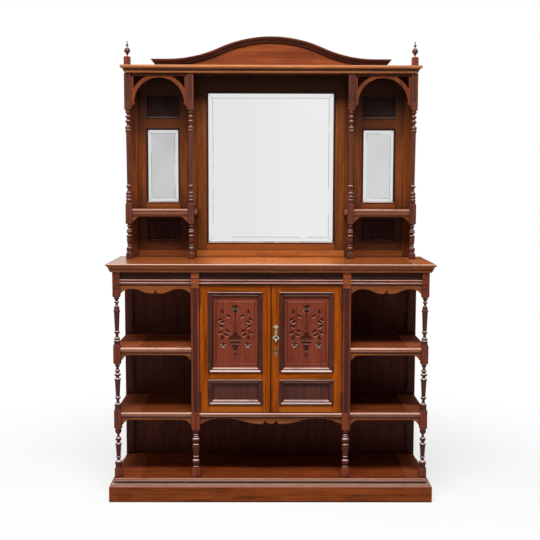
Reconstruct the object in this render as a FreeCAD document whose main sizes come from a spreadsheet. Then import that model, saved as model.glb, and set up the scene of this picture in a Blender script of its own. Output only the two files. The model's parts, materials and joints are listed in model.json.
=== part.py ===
import FreeCAD, Part
import math
import os
import types

import Sketcher

# Victorian mirror-back chiffonier in millimetres, +Z up, front towards -Y,
# origin on the floor under the middle of the counter.

# Driving dimensions
sizes = {
    # counter
    "counter_width": 1370,
    "counter_depth": 412,
    "counter_height": 1012,
    "counter_thick": 36,
    "counter_edge_round": 3,
    "counter_lip": 9,
    "counter_lip_step": 2,
    "counter_cove_inset": 8,
    "counter_cove_drop": 13,
    "counter_fillet": 2,
    "counter_quirk": 3,
    "counter_bead_inset": 7,
    "counter_front_overhang": 23,
    "counter_side_overhang": 24,
    "counter_back_overhang": 9,
    # plinth and base board
    "plinth_height": 80,
    "plinth_thick": 20,
    "plinth_inset": 2,
    "plinth_ogee_inset": 14,
    "plinth_ogee_height": 18,
    "base_thick": 22,
    "base_side_inset": 22,
    "base_front_inset": 6,
    "base_nose_height": 16,
    "base_cove_inset": 6,
    # lower posts
    "front_post_square": 30,
    "cupboard_post_square": 34,
    "rear_post_square": 32,
    "post_foot_block": 40,
    "post_top_block": 107,
    "post_block_above": 11,
    "post_block_below": 72,
    "post_shoulder": 20,
    "post_crown": 2,
    "post_groove_width": 2.4,
    "post_groove_depth": 1.2,
    "pilaster_recess_width": 18,
    "pilaster_recess_depth": 3,
    "pilaster_recess_margin": 14,
    # open shelves either side of the cupboard
    "upper_shelf_height": 658,
    "lower_shelf_height": 381,
    "shelf_thick": 22,
    "shelf_nose_height": 11,
    "shelf_nose_step": 4,
    "shelf_setback": 2,
    "shelf_side_inset": 3,
    "apron_thick": 10,
    "apron_setback": 8,
    "shelf_apron_height": 10,
    "shelf_bracket_drop": 30,
    "shelf_bracket_length": 38,
    "shelf_bracket_tip": 7,
    # frieze under the counter
    "frieze_height": 54,
    "frieze_thick": 22,
    "frieze_setback": 3,
    "frieze_recess": 9,
    "frieze_bead_height": 8,
    "frieze_bead_gap": 4,
    "frieze_bead_lift": 3,
    "frieze_apron_height": 16,
    "frieze_apron_drop": 36,
    "cupboard_apron_height": 7,
    "cupboard_apron_drop": 31,
    "apron_bracket_tip": 4,
    "frieze_bracket_run": 42,
    "frieze_scroll_run": 84,
    "cupboard_bracket_run": 88,
    "cupboard_scroll_run": 152,
    "apron_curl": 12,
    "apron_slot": 3,
    "apron_lobe_half": 24,
    # lower back
    "back_board_thick": 12,
    "back_board_inset": 2,
    "back_board_joint": 1.5,
    "back_board_lap": 8,
    "back_board_fit": 0.5,
    # cupboard
    "cupboard_width": 600,
    "cupboard_side_thick": 16,
    "cupboard_floor_thick": 19,
    "cupboard_floor_nose": 4,
    "cupboard_shelf_height": 640,
    "cupboard_shelf_thick": 16,
    "cupboard_shelf_setback": 60,
    "cleat_square": 18,
    # doors
    "door_thick": 22,
    "door_setback": 2,
    "door_clearance": 3,
    "hinge_gap": 2.6,
    "meeting_gap": 2,
    "door_stile": 40,
    "door_top_rail": 31,
    "door_mid_rail": 40,
    "door_bottom_rail": 35,
    "door_low_panel_height": 98,
    "door_panel_thick": 9,
    "door_panel_setback": 9,
    "bolection_width": 22,
    "bolection_lap": 6,
    "bolection_rise": 5,
    "meeting_bead_width": 8,
    # hinges
    "hinge_height": 72,
    "hinge_end_margin": 15,
    "hinge_leaf_width": 18,
    "hinge_leaf_thick": 1.2,
    "hinge_knuckle_radius": 3,
    "hinge_pin_radius": 1.6,
    "hinge_fit": 0.05,
    "hinge_knuckle_gap": 0.3,
    # drop handle and lock
    "handle_height": 727,
    "handle_plate_thick": 2,
    "handle_plate_height": 54,
    "handle_plate_width": 25,
    "handle_lug_width": 2.4,
    "handle_lug_reach": 9,
    "handle_lug_height": 8,
    "handle_eye_width": 4,
    "handle_eye_radius": 3.4,
    "handle_pin_radius": 1.2,
    "handle_fit": 0.06,
    "handle_side_gap": 0.3,
    "handle_drop_length": 44,
    "handle_drop_width": 29,
    "handle_drop_thick": 4,
    "escutcheon_height": 48,
    "escutcheon_width": 18,
    "escutcheon_thick": 1.6,
    "escutcheon_below": 82,
    "keyhole_radius": 2.2,
    "keyhole_slot_width": 2.4,
    "keyhole_slot_drop": 7,
    "lock_width": 34,
    "lock_height": 46,
    "lock_thick": 12,
    "lock_bolt_thick": 5,
    "lock_bolt_height": 12,
    "lock_bolt_length": 22,
    "lock_bolt_throw": 8,
    "lock_bolt_fit": 0.2,
    "lock_bolt_back": 4,
    # bolt on the inside of the left door
    "bolt_plate_width": 26,
    "bolt_plate_height": 60,
    "bolt_plate_thick": 1.6,
    "bolt_top_margin": 6,
    "bolt_width": 9,
    "bolt_thick": 5,
    "bolt_length": 62,
    "bolt_guide_height": 9,
    "bolt_guide_wall": 3,
    "bolt_fit": 0.2,
    "bolt_knob_radius": 4,
    "bolt_knob_reach": 12,
    # mirror back
    "gallery_width": 1276,
    "gallery_height": 806,
    "gallery_projection": 109,
    "back_post_width": 40,
    "outer_back_post_width": 44,
    "back_post_thick": 26,
    "inner_post_spacing": 704,
    "gallery_frame_inset": 4,
    "gallery_frame_thick": 20,
    "base_rail_height": 30,
    "centre_stile": 44,
    "centre_top_rail": 68,
    "centre_bottom_rail": 31,
    "side_stile": 36,
    "side_top_rail": 85,
    "side_reed_height": 101,
    "side_mid_rail": 44,
    "side_mirror_height": 333,
    "side_shelf_rail": 72,
    "side_bottom_rail": 42,
    "slip_width": 8,
    "slip_rise": 2,
    "slip_depth": 6,
    "mirror_thick": 5,
    "mirror_bevel": 28,
    "mirror_bevel_drop": 3,
    "side_mirror_bevel": 22,
    "mirror_board_thick": 6,
    # columns and arches of the mirror back
    "column_square": 28,
    "inner_column_spacing": 702,
    "column_foot_block": 24,
    "column_top_block": 158,
    "column_recess_width": 14,
    "column_recess_depth": 2.5,
    "column_recess_margin": 12,
    "column_recess_foot": 38,
    "column_shoulder": 13,
    "arch_thick": 14,
    "arch_setback": 7,
    "arch_bar": 11,
    "arch_band": 17,
    "arch_crown": 6,
    "arch_jamb": 14,
    "arch_tail": 32,
    "arch_cusp": 5,
    # bracket shelves
    "bracket_shelf_height": 219,
    "bracket_shelf_thick": 28,
    "bracket_shelf_nose": 13,
    "bracket_shelf_step": 4,
    "bracket_shelf_front": 4,
    "bracket_shelf_return": 9,
    "bracket_apron_height": 6,
    "bracket_apron_drop": 26,
    "bracket_apron_length": 38,
    # cornice, crest and finials
    "cornice_thick": 34,
    "cornice_side_overhang": 14,
    "cornice_front_overhang": 26,
    "cornice_round": 5,
    "cornice_lip": 13,
    "cornice_lip_round": 4,
    "cornice_cove_inset": 9,
    "cornice_cove_drop": 10,
    "cornice_quirk": 1,
    "cornice_bead_inset": 6,
    "crest_half_length": 523,
    "crest_scroll_half": 450,
    "crest_end_height": 28,
    "crest_rise": 96,
    "crest_setback": 27,
    "crest_board_thick": 16,
    "crest_moulding_height": 22,
    "crest_moulding_project": 26,
    "crest_return": 17,
    "finial_square": 28,
    "finial_block": 38,
    "finial_height": 107,
}

# Counts and shapes that are no lengths
back_board_count = 9
hinge_knuckle_count = 5
half_share = 0.5
block_radius_share = 1.45
handle_pivot_share = 0.40

# Turned lengths from the lower square block up to the next one.
# Each station is (share of the length, share of half the square, bow of the run to the next station).
leg_shares = [
    (0.00, 0.90, 0), (0.04, 0.90, 0), (0.04, 0.76, 0.24), (0.19, 0.52, 0), (0.19, 0.48, -0.10),
    (0.24, 0.48, 0), (0.24, 0.52, 0.36), (0.285, 0.54, 0), (0.29, 0.58, 0), (0.58, 0.80, 0),
    (0.58, 0.84, 0.20), (0.63, 0.76, 0), (0.63, 0.66, -0.22), (0.69, 0.58, 0), (0.69, 0.66, 0.22),
    (0.78, 0.62, 0), (0.78, 0.54, -0.16), (0.88, 0.50, 0), (0.88, 0.60, 0.18), (1.00, 0.72, 0),
]
middle_shares = [
    (0.00, 0.90, 0), (0.035, 0.90, 0), (0.035, 0.78, 0.18), (0.145, 0.58, 0), (0.145, 0.56, -0.12),
    (0.23, 0.50, 0), (0.23, 0.52, 0.36), (0.29, 0.54, 0), (0.31, 0.57, 0), (0.64, 0.79, 0),
    (0.64, 0.82, 0.22), (0.69, 0.76, 0), (0.69, 0.66, -0.26), (0.74, 0.58, 0), (0.74, 0.68, 0.34),
    (0.80, 0.66, 0), (0.80, 0.54, -0.20), (0.83, 0.52, 0), (0.83, 0.56, 0.30), (0.88, 0.56, 0),
    (0.88, 0.52, -0.12), (0.95, 0.50, 0), (0.95, 0.54, 0.24), (1.00, 0.56, 0),
]
upper_shares = [
    (0.00, 0.90, 0), (0.045, 0.90, 0), (0.045, 0.70, 0.30), (0.10, 0.70, 0), (0.10, 0.66, 0.28),
    (0.155, 0.62, 0), (0.155, 0.58, -0.14), (0.235, 0.52, 0), (0.235, 0.55, 0.30), (0.295, 0.56, 0),
    (0.31, 0.60, 0), (0.69, 0.80, 0), (0.69, 0.84, 0.14), (0.745, 0.78, 0), (0.745, 0.74, 0.10),
    (0.83, 0.46, 0), (0.83, 0.44, -0.16), (0.88, 0.46, 0), (0.88, 0.52, 0.30), (0.92, 0.52, 0),
    (0.92, 0.48, -0.12), (0.96, 0.54, 0), (0.96, 0.60, 0.26), (1.00, 0.62, 0),
]
cupboard_leg_shares = [
    (0.00, 0.90, 0), (0.03, 0.90, 0), (0.03, 0.74, -0.16), (0.08, 0.68, 0), (0.08, 0.72, 0.22),
    (0.21, 0.66, 0), (0.21, 0.56, -0.20), (0.25, 0.56, 0), (0.25, 0.60, 0.32), (0.30, 0.62, 0),
    (0.31, 0.68, 0.03), (0.60, 0.92, 0), (0.60, 0.80, -0.24), (0.66, 0.70, 0), (0.66, 0.78, 0.22),
    (0.76, 0.78, 0), (0.77, 0.62, 0.32), (0.81, 0.62, 0), (0.82, 0.60, 0.32), (0.86, 0.60, 0),
    (0.86, 0.54, -0.10), (0.90, 0.58, 0), (0.90, 0.66, 0.16), (1.00, 0.92, 0),
]
column_foot_shares = [
    (0.00, 0.92, 0), (0.04, 0.92, 0), (0.05, 0.70, 0.20), (0.22, 0.66, 0), (0.22, 0.54, -0.18),
    (0.25, 0.54, 0), (0.25, 0.58, 0.34), (0.29, 0.58, 0), (0.30, 0.60, 0.04), (0.54, 0.82, 0),
    (0.54, 0.66, 0.30), (0.63, 0.66, 0), (0.63, 0.58, -0.18), (0.69, 0.58, 0), (0.69, 0.72, 0.34),
    (0.755, 0.72, 0), (0.755, 0.70, 0.34), (0.82, 0.66, 0), (0.82, 0.56, -0.14), (0.90, 0.52, 0),
    (0.90, 0.56, 0.32), (0.96, 0.56, 0), (1.00, 0.60, 0),
]
column_shaft_shares = [
    (0.000, 0.92, 0), (0.014, 0.92, 0), (0.014, 0.70, 0.24), (0.050, 0.72, 0), (0.052, 0.74, 0.22),
    (0.085, 0.74, 0), (0.087, 0.72, 0.20), (0.125, 0.66, 0), (0.125, 0.62, -0.05), (0.165, 0.48, 0),
    (0.165, 0.52, 0.28), (0.200, 0.53, 0), (0.205, 0.54, 0), (0.760, 0.70, 0), (0.765, 0.72, 0.24),
    (0.795, 0.74, 0), (0.797, 0.74, 0.24), (0.830, 0.70, 0), (0.830, 0.60, -0.12), (0.865, 0.54, 0),
    (0.865, 0.62, 0.28), (0.895, 0.62, 0), (0.895, 0.52, -0.16), (0.915, 0.52, 0), (0.915, 0.58, 0.28),
    (0.945, 0.58, 0), (0.945, 0.50, -0.16), (0.965, 0.52, 0), (0.965, 0.58, 0.24), (1.000, 0.60, 0),
]
finial_shares = [
    (0.00, 0.60, 0.10), (0.05, 0.18, 0), (0.08, 0.18, -0.04), (0.28, 0.86, 0.16), (0.44, 0.80, 0.22),
    (0.555, 0.16, 0), (0.61, 0.13, 0), (0.70, 0.48, 0.20), (0.75, 0.30, 0), (0.76, 0.12, 0.06),
    (0.90, 0.14, 0), (1.00, 0.03, 0),
]

# Section of the crest moulding: shares of how far it stands out and of its height, from the top
crest_shares = [
    (0.0, 0.0), (1.0, 0.0), (1.0, 0.24), (0.84, 0.44), (0.62, 0.52), (0.62, 0.60), (0.42, 0.78), (0.34, 0.84),
    (0.34, 1.0), (0.0, 1.0),
]
# Section of the door mouldings: shares of the width, of the rise over the frame, and the bow to the next
bolection_shares = [
    (0.00, 0.00, 0), (0.00, 0.45, 0.25), (0.30, 0.90, 0), (0.32, 0.55, 0), (0.38, 0.55, -0.18),
    (0.62, -0.10, 0), (0.66, -0.10, 0.25), (0.82, -0.70, 0),
]
# Outlines of the brass plates: shares of half the width and of the height, top to bottom
handle_plate_shares = [
    (0.00, 1.00), (0.36, 0.93), (0.30, 0.86), (0.96, 0.76), (0.44, 0.66), (0.64, 0.58), (0.40, 0.50),
    (0.60, 0.40), (0.60, 0.26), (0.28, 0.16),
]
escutcheon_shares = [
    (0.00, 1.00), (0.34, 0.88), (0.60, 0.76), (0.34, 0.66), (0.78, 0.56), (0.72, 0.44), (0.34, 0.34),
    (1.00, 0.20), (0.30, 0.04), (0.00, 0.00),
]
drop_shares = [
    (0.13, 0.98), (0.13, 0.88), (0.26, 0.82), (1.00, 0.54), (0.40, 0.26), (0.46, 0.18), (0.00, 0.00),
]
drop_hole_shares = [(0.10, 0.72), (0.66, 0.52), (0.10, 0.46)]


class Size:
    """A length together with the sheet expression that it follows."""

    def __init__(self, text, value):
        self.text = text
        self.value = float(value)

    def __add__(self, other):
        return Size(f"({self.text} + {other.text})", self.value + other.value)

    def __sub__(self, other):
        return Size(f"({self.text} - {other.text})", self.value - other.value)

    def __mul__(self, share):
        return Size(f"({self.text} * {share})", self.value * share)

    def __truediv__(self, count):
        return Size(f"({self.text} / {count})", self.value / count)

    def __neg__(self):
        return Size(f"(-1 * {self.text})", -self.value)


doc = FreeCAD.newDocument("chiffonier")
sheet = doc.addObject("Spreadsheet::Sheet", "Sizes")
for row, (alias, amount) in enumerate(sizes.items(), start=1):
    sheet.set(f"A{row}", alias)
    sheet.set(f"B{row}", str(amount))
    sheet.setAlias(f"B{row}", alias)
doc.recompute()
dim = types.SimpleNamespace(**{alias: Size(f"Sizes.{alias}", sheet.get(alias)) for alias in sizes})
zero = Size("0", 0)
nodes = []

# Planes and levels shared by many pieces
counter_front = -dim.counter_depth / 2
counter_half = dim.counter_width / 2
post_face = counter_front + dim.counter_front_overhang
carcase_back = dim.counter_depth / 2 - dim.counter_back_overhang
carcase_half = counter_half - dim.counter_side_overhang
cupboard_half = dim.cupboard_width / 2
pilaster_half = cupboard_half + dim.cupboard_post_square
base_top = dim.plinth_height + dim.base_thick
counter_under = dim.counter_height - dim.counter_thick
frieze_under = counter_under - dim.frieze_height
back_board_face = carcase_back - dim.back_board_inset - dim.back_board_thick
bay_outer = carcase_half - dim.front_post_square
gallery_half = dim.gallery_width / 2
gallery_top = dim.counter_height + dim.gallery_height
gallery_face = carcase_back - dim.back_post_thick
gallery_frame_face = gallery_face + dim.gallery_frame_inset
gallery_frame_back = gallery_frame_face + dim.gallery_frame_thick
column_face = gallery_face - dim.gallery_projection
cornice_top = gallery_top + dim.cornice_thick
door_face = post_face + dim.door_setback
door_back = door_face + dim.door_thick
door_low = dim.lower_shelf_height + dim.door_clearance
door_high = frieze_under - dim.door_clearance
door_hinge_edge = cupboard_half - dim.hinge_gap
door_meeting_edge = dim.meeting_gap / 2


def node(thing, label):
    """Name a finished sub-part and keep it for writing."""
    thing.Label = label
    nodes.append(thing)
    return thing


def bind(thing, path, length):
    """Tie one property to the sheet."""
    thing.setExpression(path, length.text)


def box(label, across, along, up):
    """A plain board between two places on each axis."""
    board = doc.addObject("Part::Box", label)
    for size_name, axis, span in (("Length", "x", across), ("Width", "y", along), ("Height", "z", up)):
        bind(board, size_name, span[1] - span[0])
        bind(board, f"Placement.Base.{axis}", span[0])
    return board


bar_turns = {
    "x": FreeCAD.Rotation(FreeCAD.Vector(0, 1, 0), 90),
    "y": FreeCAD.Rotation(FreeCAD.Vector(1, 0, 0), -90),
    "z": FreeCAD.Rotation(),
}


def rod(label, radius, start, length, axis):
    """A round bar from a start point along one axis."""
    bar = doc.addObject("Part::Cylinder", label)
    bind(bar, "Radius", radius)
    bind(bar, "Height", length)
    bar.Placement = FreeCAD.Placement(FreeCAD.Vector(), bar_turns[axis])
    for letter, place in zip("xyz", start):
        bind(bar, f"Placement.Base.{letter}", place)
    return bar


def cut(label, base, *tools):
    """A piece with other shapes taken out of it."""
    for number, tool in enumerate(tools):
        result = doc.addObject("Part::Cut", f"{label}_cut_{number}")
        result.Base = base
        result.Tool = tool
        base = result
    return base


def fuse(label, *members):
    """One solid out of several touching shapes."""
    result = doc.addObject("Part::MultiFuse", f"{label}_fused")
    result.Shapes = list(members)
    result.Refine = True
    return result


def common(label, first, second):
    """What two shapes share."""
    result = doc.addObject("Part::Common", f"{label}_common")
    result.Base = first
    result.Tool = second
    return result


def group(label, members):
    """Several separate solids as one sub-part."""
    result = doc.addObject("Part::Compound", f"{label}_group")
    result.Links = list(members)
    return result


def mirrored(label, source):
    """The same piece for the other side of the middle."""
    result = doc.addObject("Part::Mirroring", f"{label}_mirrored")
    result.Source = source
    result.Normal = FreeCAD.Vector(1, 0, 0)
    return result


def both_sides(label, source):
    """A piece and its mirror image as one sub-part of two solids."""
    return group(label, [source, mirrored(label, source)])


def feature(label, shape):
    """A shape made by hand, as a document object."""
    result = doc.addObject("Part::Feature", f"{label}_shape")
    result.Shape = shape
    result.Placement = FreeCAD.Placement()
    return result


def arc_middle(start, end, bow):
    """The middle of the arc between two corners whose centre is level or plumb with one of them."""
    kind, which = bow.split("_")
    pivot, other = (start, end) if which == "start" else (end, start)
    run = other - pivot
    reach = run.Length ** 2 / 2
    shift = FreeCAD.Vector(reach / run.x, 0, 0) if kind == "level" else FreeCAD.Vector(0, reach / run.y, 0)
    centre = pivot + shift
    to_chord = (start + end) * half_share - centre
    return centre + to_chord.normalize() * shift.Length


def draw_outline(sketch, corners):
    """Draw a closed outline and tie each corner to the sheet.

    A corner is (across, up) or (across, up, bow); the bow tells the arc to the next corner.
    """
    points = [FreeCAD.Vector(corner[0].value, corner[1].value, 0) for corner in corners]
    bows = [corner[2] if len(corner) > 2 else None for corner in corners]
    ends = []
    for number, bow in enumerate(bows):
        start = points[number]
        end = points[(number + 1) % len(points)]
        edge = Part.Arc(start, arc_middle(start, end, bow), end) if bow else Part.LineSegment(start, end)
        index = sketch.addGeometry(edge, False)
        forward = sketch.getPoint(index, 1).isEqual(start, FreeCAD.Base.Precision.confusion())
        ends.append((index, 1, 2) if forward else (index, 2, 1))
    rules = []
    ties = []
    for number, (index, first, last) in enumerate(ends):
        after = ends[(number + 1) % len(ends)]
        rules.append(Sketcher.Constraint("Coincident", index, last, after[0], after[1]))
        for name, length in (("DistanceX", corners[number][0]), ("DistanceY", corners[number][1])):
            ties.append((len(rules), length))
            rules.append(Sketcher.Constraint(name, -1, 1, index, first, length.value))
        if bows[number]:
            kind, which = bows[number].split("_")
            rule = "Horizontal" if kind == "level" else "Vertical"
            rules.append(Sketcher.Constraint(rule, index, 3, index, first if which == "start" else last))
    base = sketch.ConstraintCount
    sketch.addConstraint(rules)
    for place, length in ties:
        sketch.setExpression(f"Constraints[{base + place}]", length.text)


def shaped_board(label, outlines, back, thick):
    """A sawn board: an outline in the upright plane, padded forward from its back face."""
    body = doc.addObject("PartDesign::Body", f"{label}_body")
    sketch = body.newObject("Sketcher::SketchObject", f"{label}_outline")
    plane = [item for item in body.Origin.OriginFeatures if item.Role == "XZ_Plane"][0]
    sketch.AttachmentSupport = (plane, [""])
    sketch.MapMode = "FlatFace"
    for corners in outlines:
        draw_outline(sketch, corners)
    pad = body.newObject("PartDesign::Pad", f"{label}_pad")
    pad.Profile = sketch
    bind(pad, "Length", thick)
    bind(body, "Placement.Base.y", back)
    return body


section_planes = {
    "x": (FreeCAD.Rotation(FreeCAD.Vector(1, 1, 1), 120), FreeCAD.Vector(1, 0, 0)),
    "y": (FreeCAD.Rotation(FreeCAD.Vector(1, 0, 0), 90), FreeCAD.Vector(0, 1, 0)),
    "z": (FreeCAD.Rotation(), FreeCAD.Vector(0, 0, 1)),
}


def run_of(label, corners, axis, start, end):
    """A length of moulding: a section drawn square to an axis and run along it."""
    turn, direction = section_planes[axis]
    sketch = doc.addObject("Sketcher::SketchObject", f"{label}_section_{axis}")
    draw_outline(sketch, corners)
    sketch.Placement = FreeCAD.Placement(FreeCAD.Vector(), turn)
    bind(sketch, f"Placement.Base.{axis}", start)
    length = doc.addObject("Part::Extrusion", f"{label}_run_{axis}")
    length.Base = sketch
    length.DirMode = "Custom"
    length.Dir = direction
    bind(length, "LengthFwd", end - start)
    length.Solid = True
    return length


def moulded_board(label, profile, half, front, back):
    """A board with one moulding along its front and both ends, mitred at the corners.

    The profile runs from the top edge down, as (inset, height, bow).
    """
    front_corners = [(front + corner[0],) + tuple(corner[1:]) for corner in profile]
    front_corners += [(back, profile[-1][1]), (back, profile[0][1])]
    swap = {"start": "end", "end": "start"}
    end_corners = [(half - corner[0],) + tuple(corner[1:]) for corner in profile]
    for number in range(len(profile) - 1, -1, -1):
        corner = profile[number]
        place = (corner[0] - half, corner[1])
        bow = profile[number - 1][2] if number and len(profile[number - 1]) > 2 else None
        if bow:
            kind, which = bow.split("_")
            place += (f"{kind}_{swap[which]}",)
        end_corners.append(place)
    along_front = run_of(label, front_corners, "x", -half, half)
    along_ends = run_of(label, end_corners, "y", front, back)
    return common(label, along_front, along_ends)


def turned_stick(label, square, stations, centre, recesses):
    """A square stick turned between its blocks; stations are (radius, height, bow of the run upwards)."""
    points = [FreeCAD.Vector(radius, 0, height) for radius, height, bow in stations]
    edges = []
    for start, end, (radius, height, bow) in zip(points, points[1:], stations):
        if start.isEqual(end, FreeCAD.Base.Precision.confusion()):
            continue
        run = end - start
        middle = (start + end) * half_share + FreeCAD.Vector(run.z, 0, -run.x) * bow
        curve = Part.Arc(start, middle, end) if bow else Part.LineSegment(start, end)
        edges.append(curve.toShape())
    foot = FreeCAD.Vector(0, 0, points[0].z)
    head = FreeCAD.Vector(0, 0, points[-1].z)
    edges.append(Part.LineSegment(points[-1], head).toShape())
    edges.append(Part.LineSegment(head, foot).toShape())
    edges.append(Part.LineSegment(foot, points[0]).toShape())
    turning = Part.Face(Part.Wire(edges)).revolve(FreeCAD.Vector(), FreeCAD.Vector(0, 0, 1), 360)
    half = square * half_share
    corner = FreeCAD.Vector(-half, -half, foot.z)
    stick = turning.common(Part.makeBox(square, square, head.z - foot.z, corner))
    for recess in recesses:
        stick = stick.cut(recess)
    result = feature(label, stick)
    result.Placement.Base = FreeCAD.Vector(centre[0].value, centre[1].value, 0)
    return result


def stick_stations(half, blocks, tables, shoulder, crown):
    """Stations of a stick from its square blocks, (low, high) upwards, and the turned lengths between."""
    wide = half * block_radius_share
    stations = []
    for number, (low, high) in enumerate(blocks):
        if number:
            stations.append((stations[-1][0], low, half_share * half_share))
            stations.append((wide, low + shoulder, 0))
        else:
            stations.append((wide, low, 0))
        if number == len(blocks) - 1:
            stations.append((wide, high, 0))
            break
        stations.append((wide, high - crown, 0))
        length = blocks[number + 1][0] - high
        for share, wide_share, bow in tables[number]:
            stations.append((half * wide_share, high + length * share, bow))
    return stations


def groove_ring(square, height, width, depth):
    """A shallow line cut round a square block."""
    inner = square - depth - depth
    outside = Part.makeBox(square, square, width, FreeCAD.Vector(-square / 2, -square / 2, height))
    inside = Part.makeBox(inner, inner, width, FreeCAD.Vector(-inner / 2, -inner / 2, height))
    return outside.cut(inside)


def face_recess(square, width, depth, low, high):
    """A sunk panel in the front face of a square stick."""
    corner = FreeCAD.Vector(-width / 2, -square / 2, low)
    return Part.makeBox(width, depth, high - low, corner)


def nosed_profile(front, back, top, nose, step, thick):
    """Section of a shelf: a round nosing over a lower edge that steps back."""
    under = top - thick
    return [(front + nose * half_share, top, "plumb_start"), (front, top - nose * half_share, "level_start"),
            (front + nose * half_share, top - nose), (front + step, top - nose), (front + step, under),
            (back, under), (back, top)]


# Plinth and base board
def plinth():
    half = counter_half - dim.plinth_inset
    front = counter_front + dim.plinth_inset
    shelf = dim.plinth_height - dim.plinth_ogee_height
    profile = [(dim.plinth_ogee_inset, dim.plinth_height, "level_start"), (dim.plinth_ogee_inset * half_share,
               shelf + dim.plinth_ogee_height * half_share, "plumb_start"), (zero, shelf), (zero, zero)]
    blank = moulded_board("plinth", profile, half, front, carcase_back)
    inner_front = front + dim.plinth_thick
    inner_half = half - dim.plinth_thick
    front_cut = box("plinth_front_cut", (-half, half), (front, inner_front), (zero, dim.plinth_height))
    node(common("plinth_front", blank, front_cut), "plinth_front")
    side_cut = box("plinth_side_cut", (-half, -inner_half), (inner_front, carcase_back),
                   (zero, dim.plinth_height))
    side = common("plinth_side", blank, side_cut)
    rear = box("plinth_rear", (-inner_half, inner_half), (carcase_back - dim.plinth_thick, carcase_back),
               (zero, dim.plinth_height))
    node(group("plinth_returns", [side, mirrored("plinth_side", side), rear]), "plinth_returns")


def base_board():
    cove_top = base_top - dim.base_nose_height
    nose = dim.base_nose_height * half_share
    profile = [(nose, base_top, "plumb_start"), (zero, base_top - nose, "level_start"), (nose, cove_top),
               (nose + dim.base_cove_inset, cove_top), (nose + dim.base_cove_inset, dim.plinth_height)]
    half = counter_half - dim.base_side_inset
    board = moulded_board("base_board", profile, half, counter_front + dim.base_front_inset, carcase_back)
    node(board, "base_board")


# Lower posts
def frieze_lines(square):
    """The three lines round the head of a post, at the frieze and its apron."""
    levels = [frieze_under, frieze_under - dim.frieze_apron_height,
              counter_under - dim.frieze_height * half_share]
    width = dim.post_groove_width.value
    depth = dim.post_groove_depth.value
    return [groove_ring(square, level.value, width, depth) for level in levels]


def front_posts():
    square = dim.front_post_square
    half = square.value / 2
    top_low = counter_under - dim.post_top_block
    blocks = [(base_top, base_top + dim.post_foot_block)]
    for shelf in (dim.lower_shelf_height, dim.upper_shelf_height):
        blocks.append((shelf - dim.post_block_below, shelf + dim.post_block_above))
    blocks.append((top_low, counter_under))
    spans = [(low.value, high.value) for low, high in blocks]
    tables = [leg_shares, middle_shares, upper_shares]
    stations = stick_stations(half, spans, tables, dim.post_shoulder.value, dim.post_crown.value)
    grooves = frieze_lines(square.value)
    centre = carcase_half - square * half_share
    depth = post_face + square * half_share
    for label, place in (("front_post_left", -centre), ("front_post_right", centre)):
        node(turned_stick(label, square.value, stations, (place, depth), grooves), label)


def cupboard_posts():
    square = dim.cupboard_post_square
    half = square.value / 2
    block_low = dim.lower_shelf_height - dim.post_block_below
    foot_top = base_top + dim.post_foot_block
    blocks = [(base_top.value, foot_top.value), (block_low.value, counter_under.value)]
    stations = stick_stations(half, blocks, [cupboard_leg_shares], dim.post_crown.value, dim.post_crown.value)
    recess_high = frieze_under - dim.pilaster_recess_margin
    recess = face_recess(square.value, dim.pilaster_recess_width.value, dim.pilaster_recess_depth.value,
                         dim.lower_shelf_height.value, recess_high.value)
    grooves = frieze_lines(square.value)
    centre = cupboard_half + square * half_share
    depth = post_face + square * half_share
    for label, place in (("cupboard_post_left", -centre), ("cupboard_post_right", centre)):
        node(turned_stick(label, square.value, stations, (place, depth), [recess] + grooves), label)


def rear_posts():
    inner = carcase_half - dim.rear_post_square
    front = carcase_back - dim.rear_post_square
    post = box("rear_post", (-carcase_half, -inner), (front, carcase_back), (base_top, counter_under))
    node(both_sides("rear_posts", post), "rear_posts")


def lower_back_boards():
    half = carcase_half - dim.rear_post_square
    pitch = half * 2 / back_board_count
    gap = dim.back_board_joint * half_share
    back = back_board_face + dim.back_board_thick
    lap_face = back_board_face + dim.back_board_thick * half_share
    rebate_face = lap_face - dim.back_board_fit
    upright = (base_top, counter_under)
    boards = []
    for number in range(back_board_count):
        left = -half + pitch * number + gap
        right = left + pitch - dim.back_board_joint
        board = box(f"back_board_{number}", (left, right), (back_board_face, back), upright)
        if number:
            rebate_across = (left, left + dim.back_board_lap)
            rebate = box(f"back_board_rebate_{number}", rebate_across, (rebate_face, back), upright)
            board = cut(f"back_board_{number}", board, rebate)
        if number < back_board_count - 1:
            lap_across = (right, right + dim.back_board_lap)
            lap = box(f"back_board_lap_{number}", lap_across, (lap_face, back), upright)
            board = fuse(f"back_board_{number}", board, lap)
        boards.append(board)
    node(group("lower_back_boards", boards), "lower_back_boards")


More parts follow.
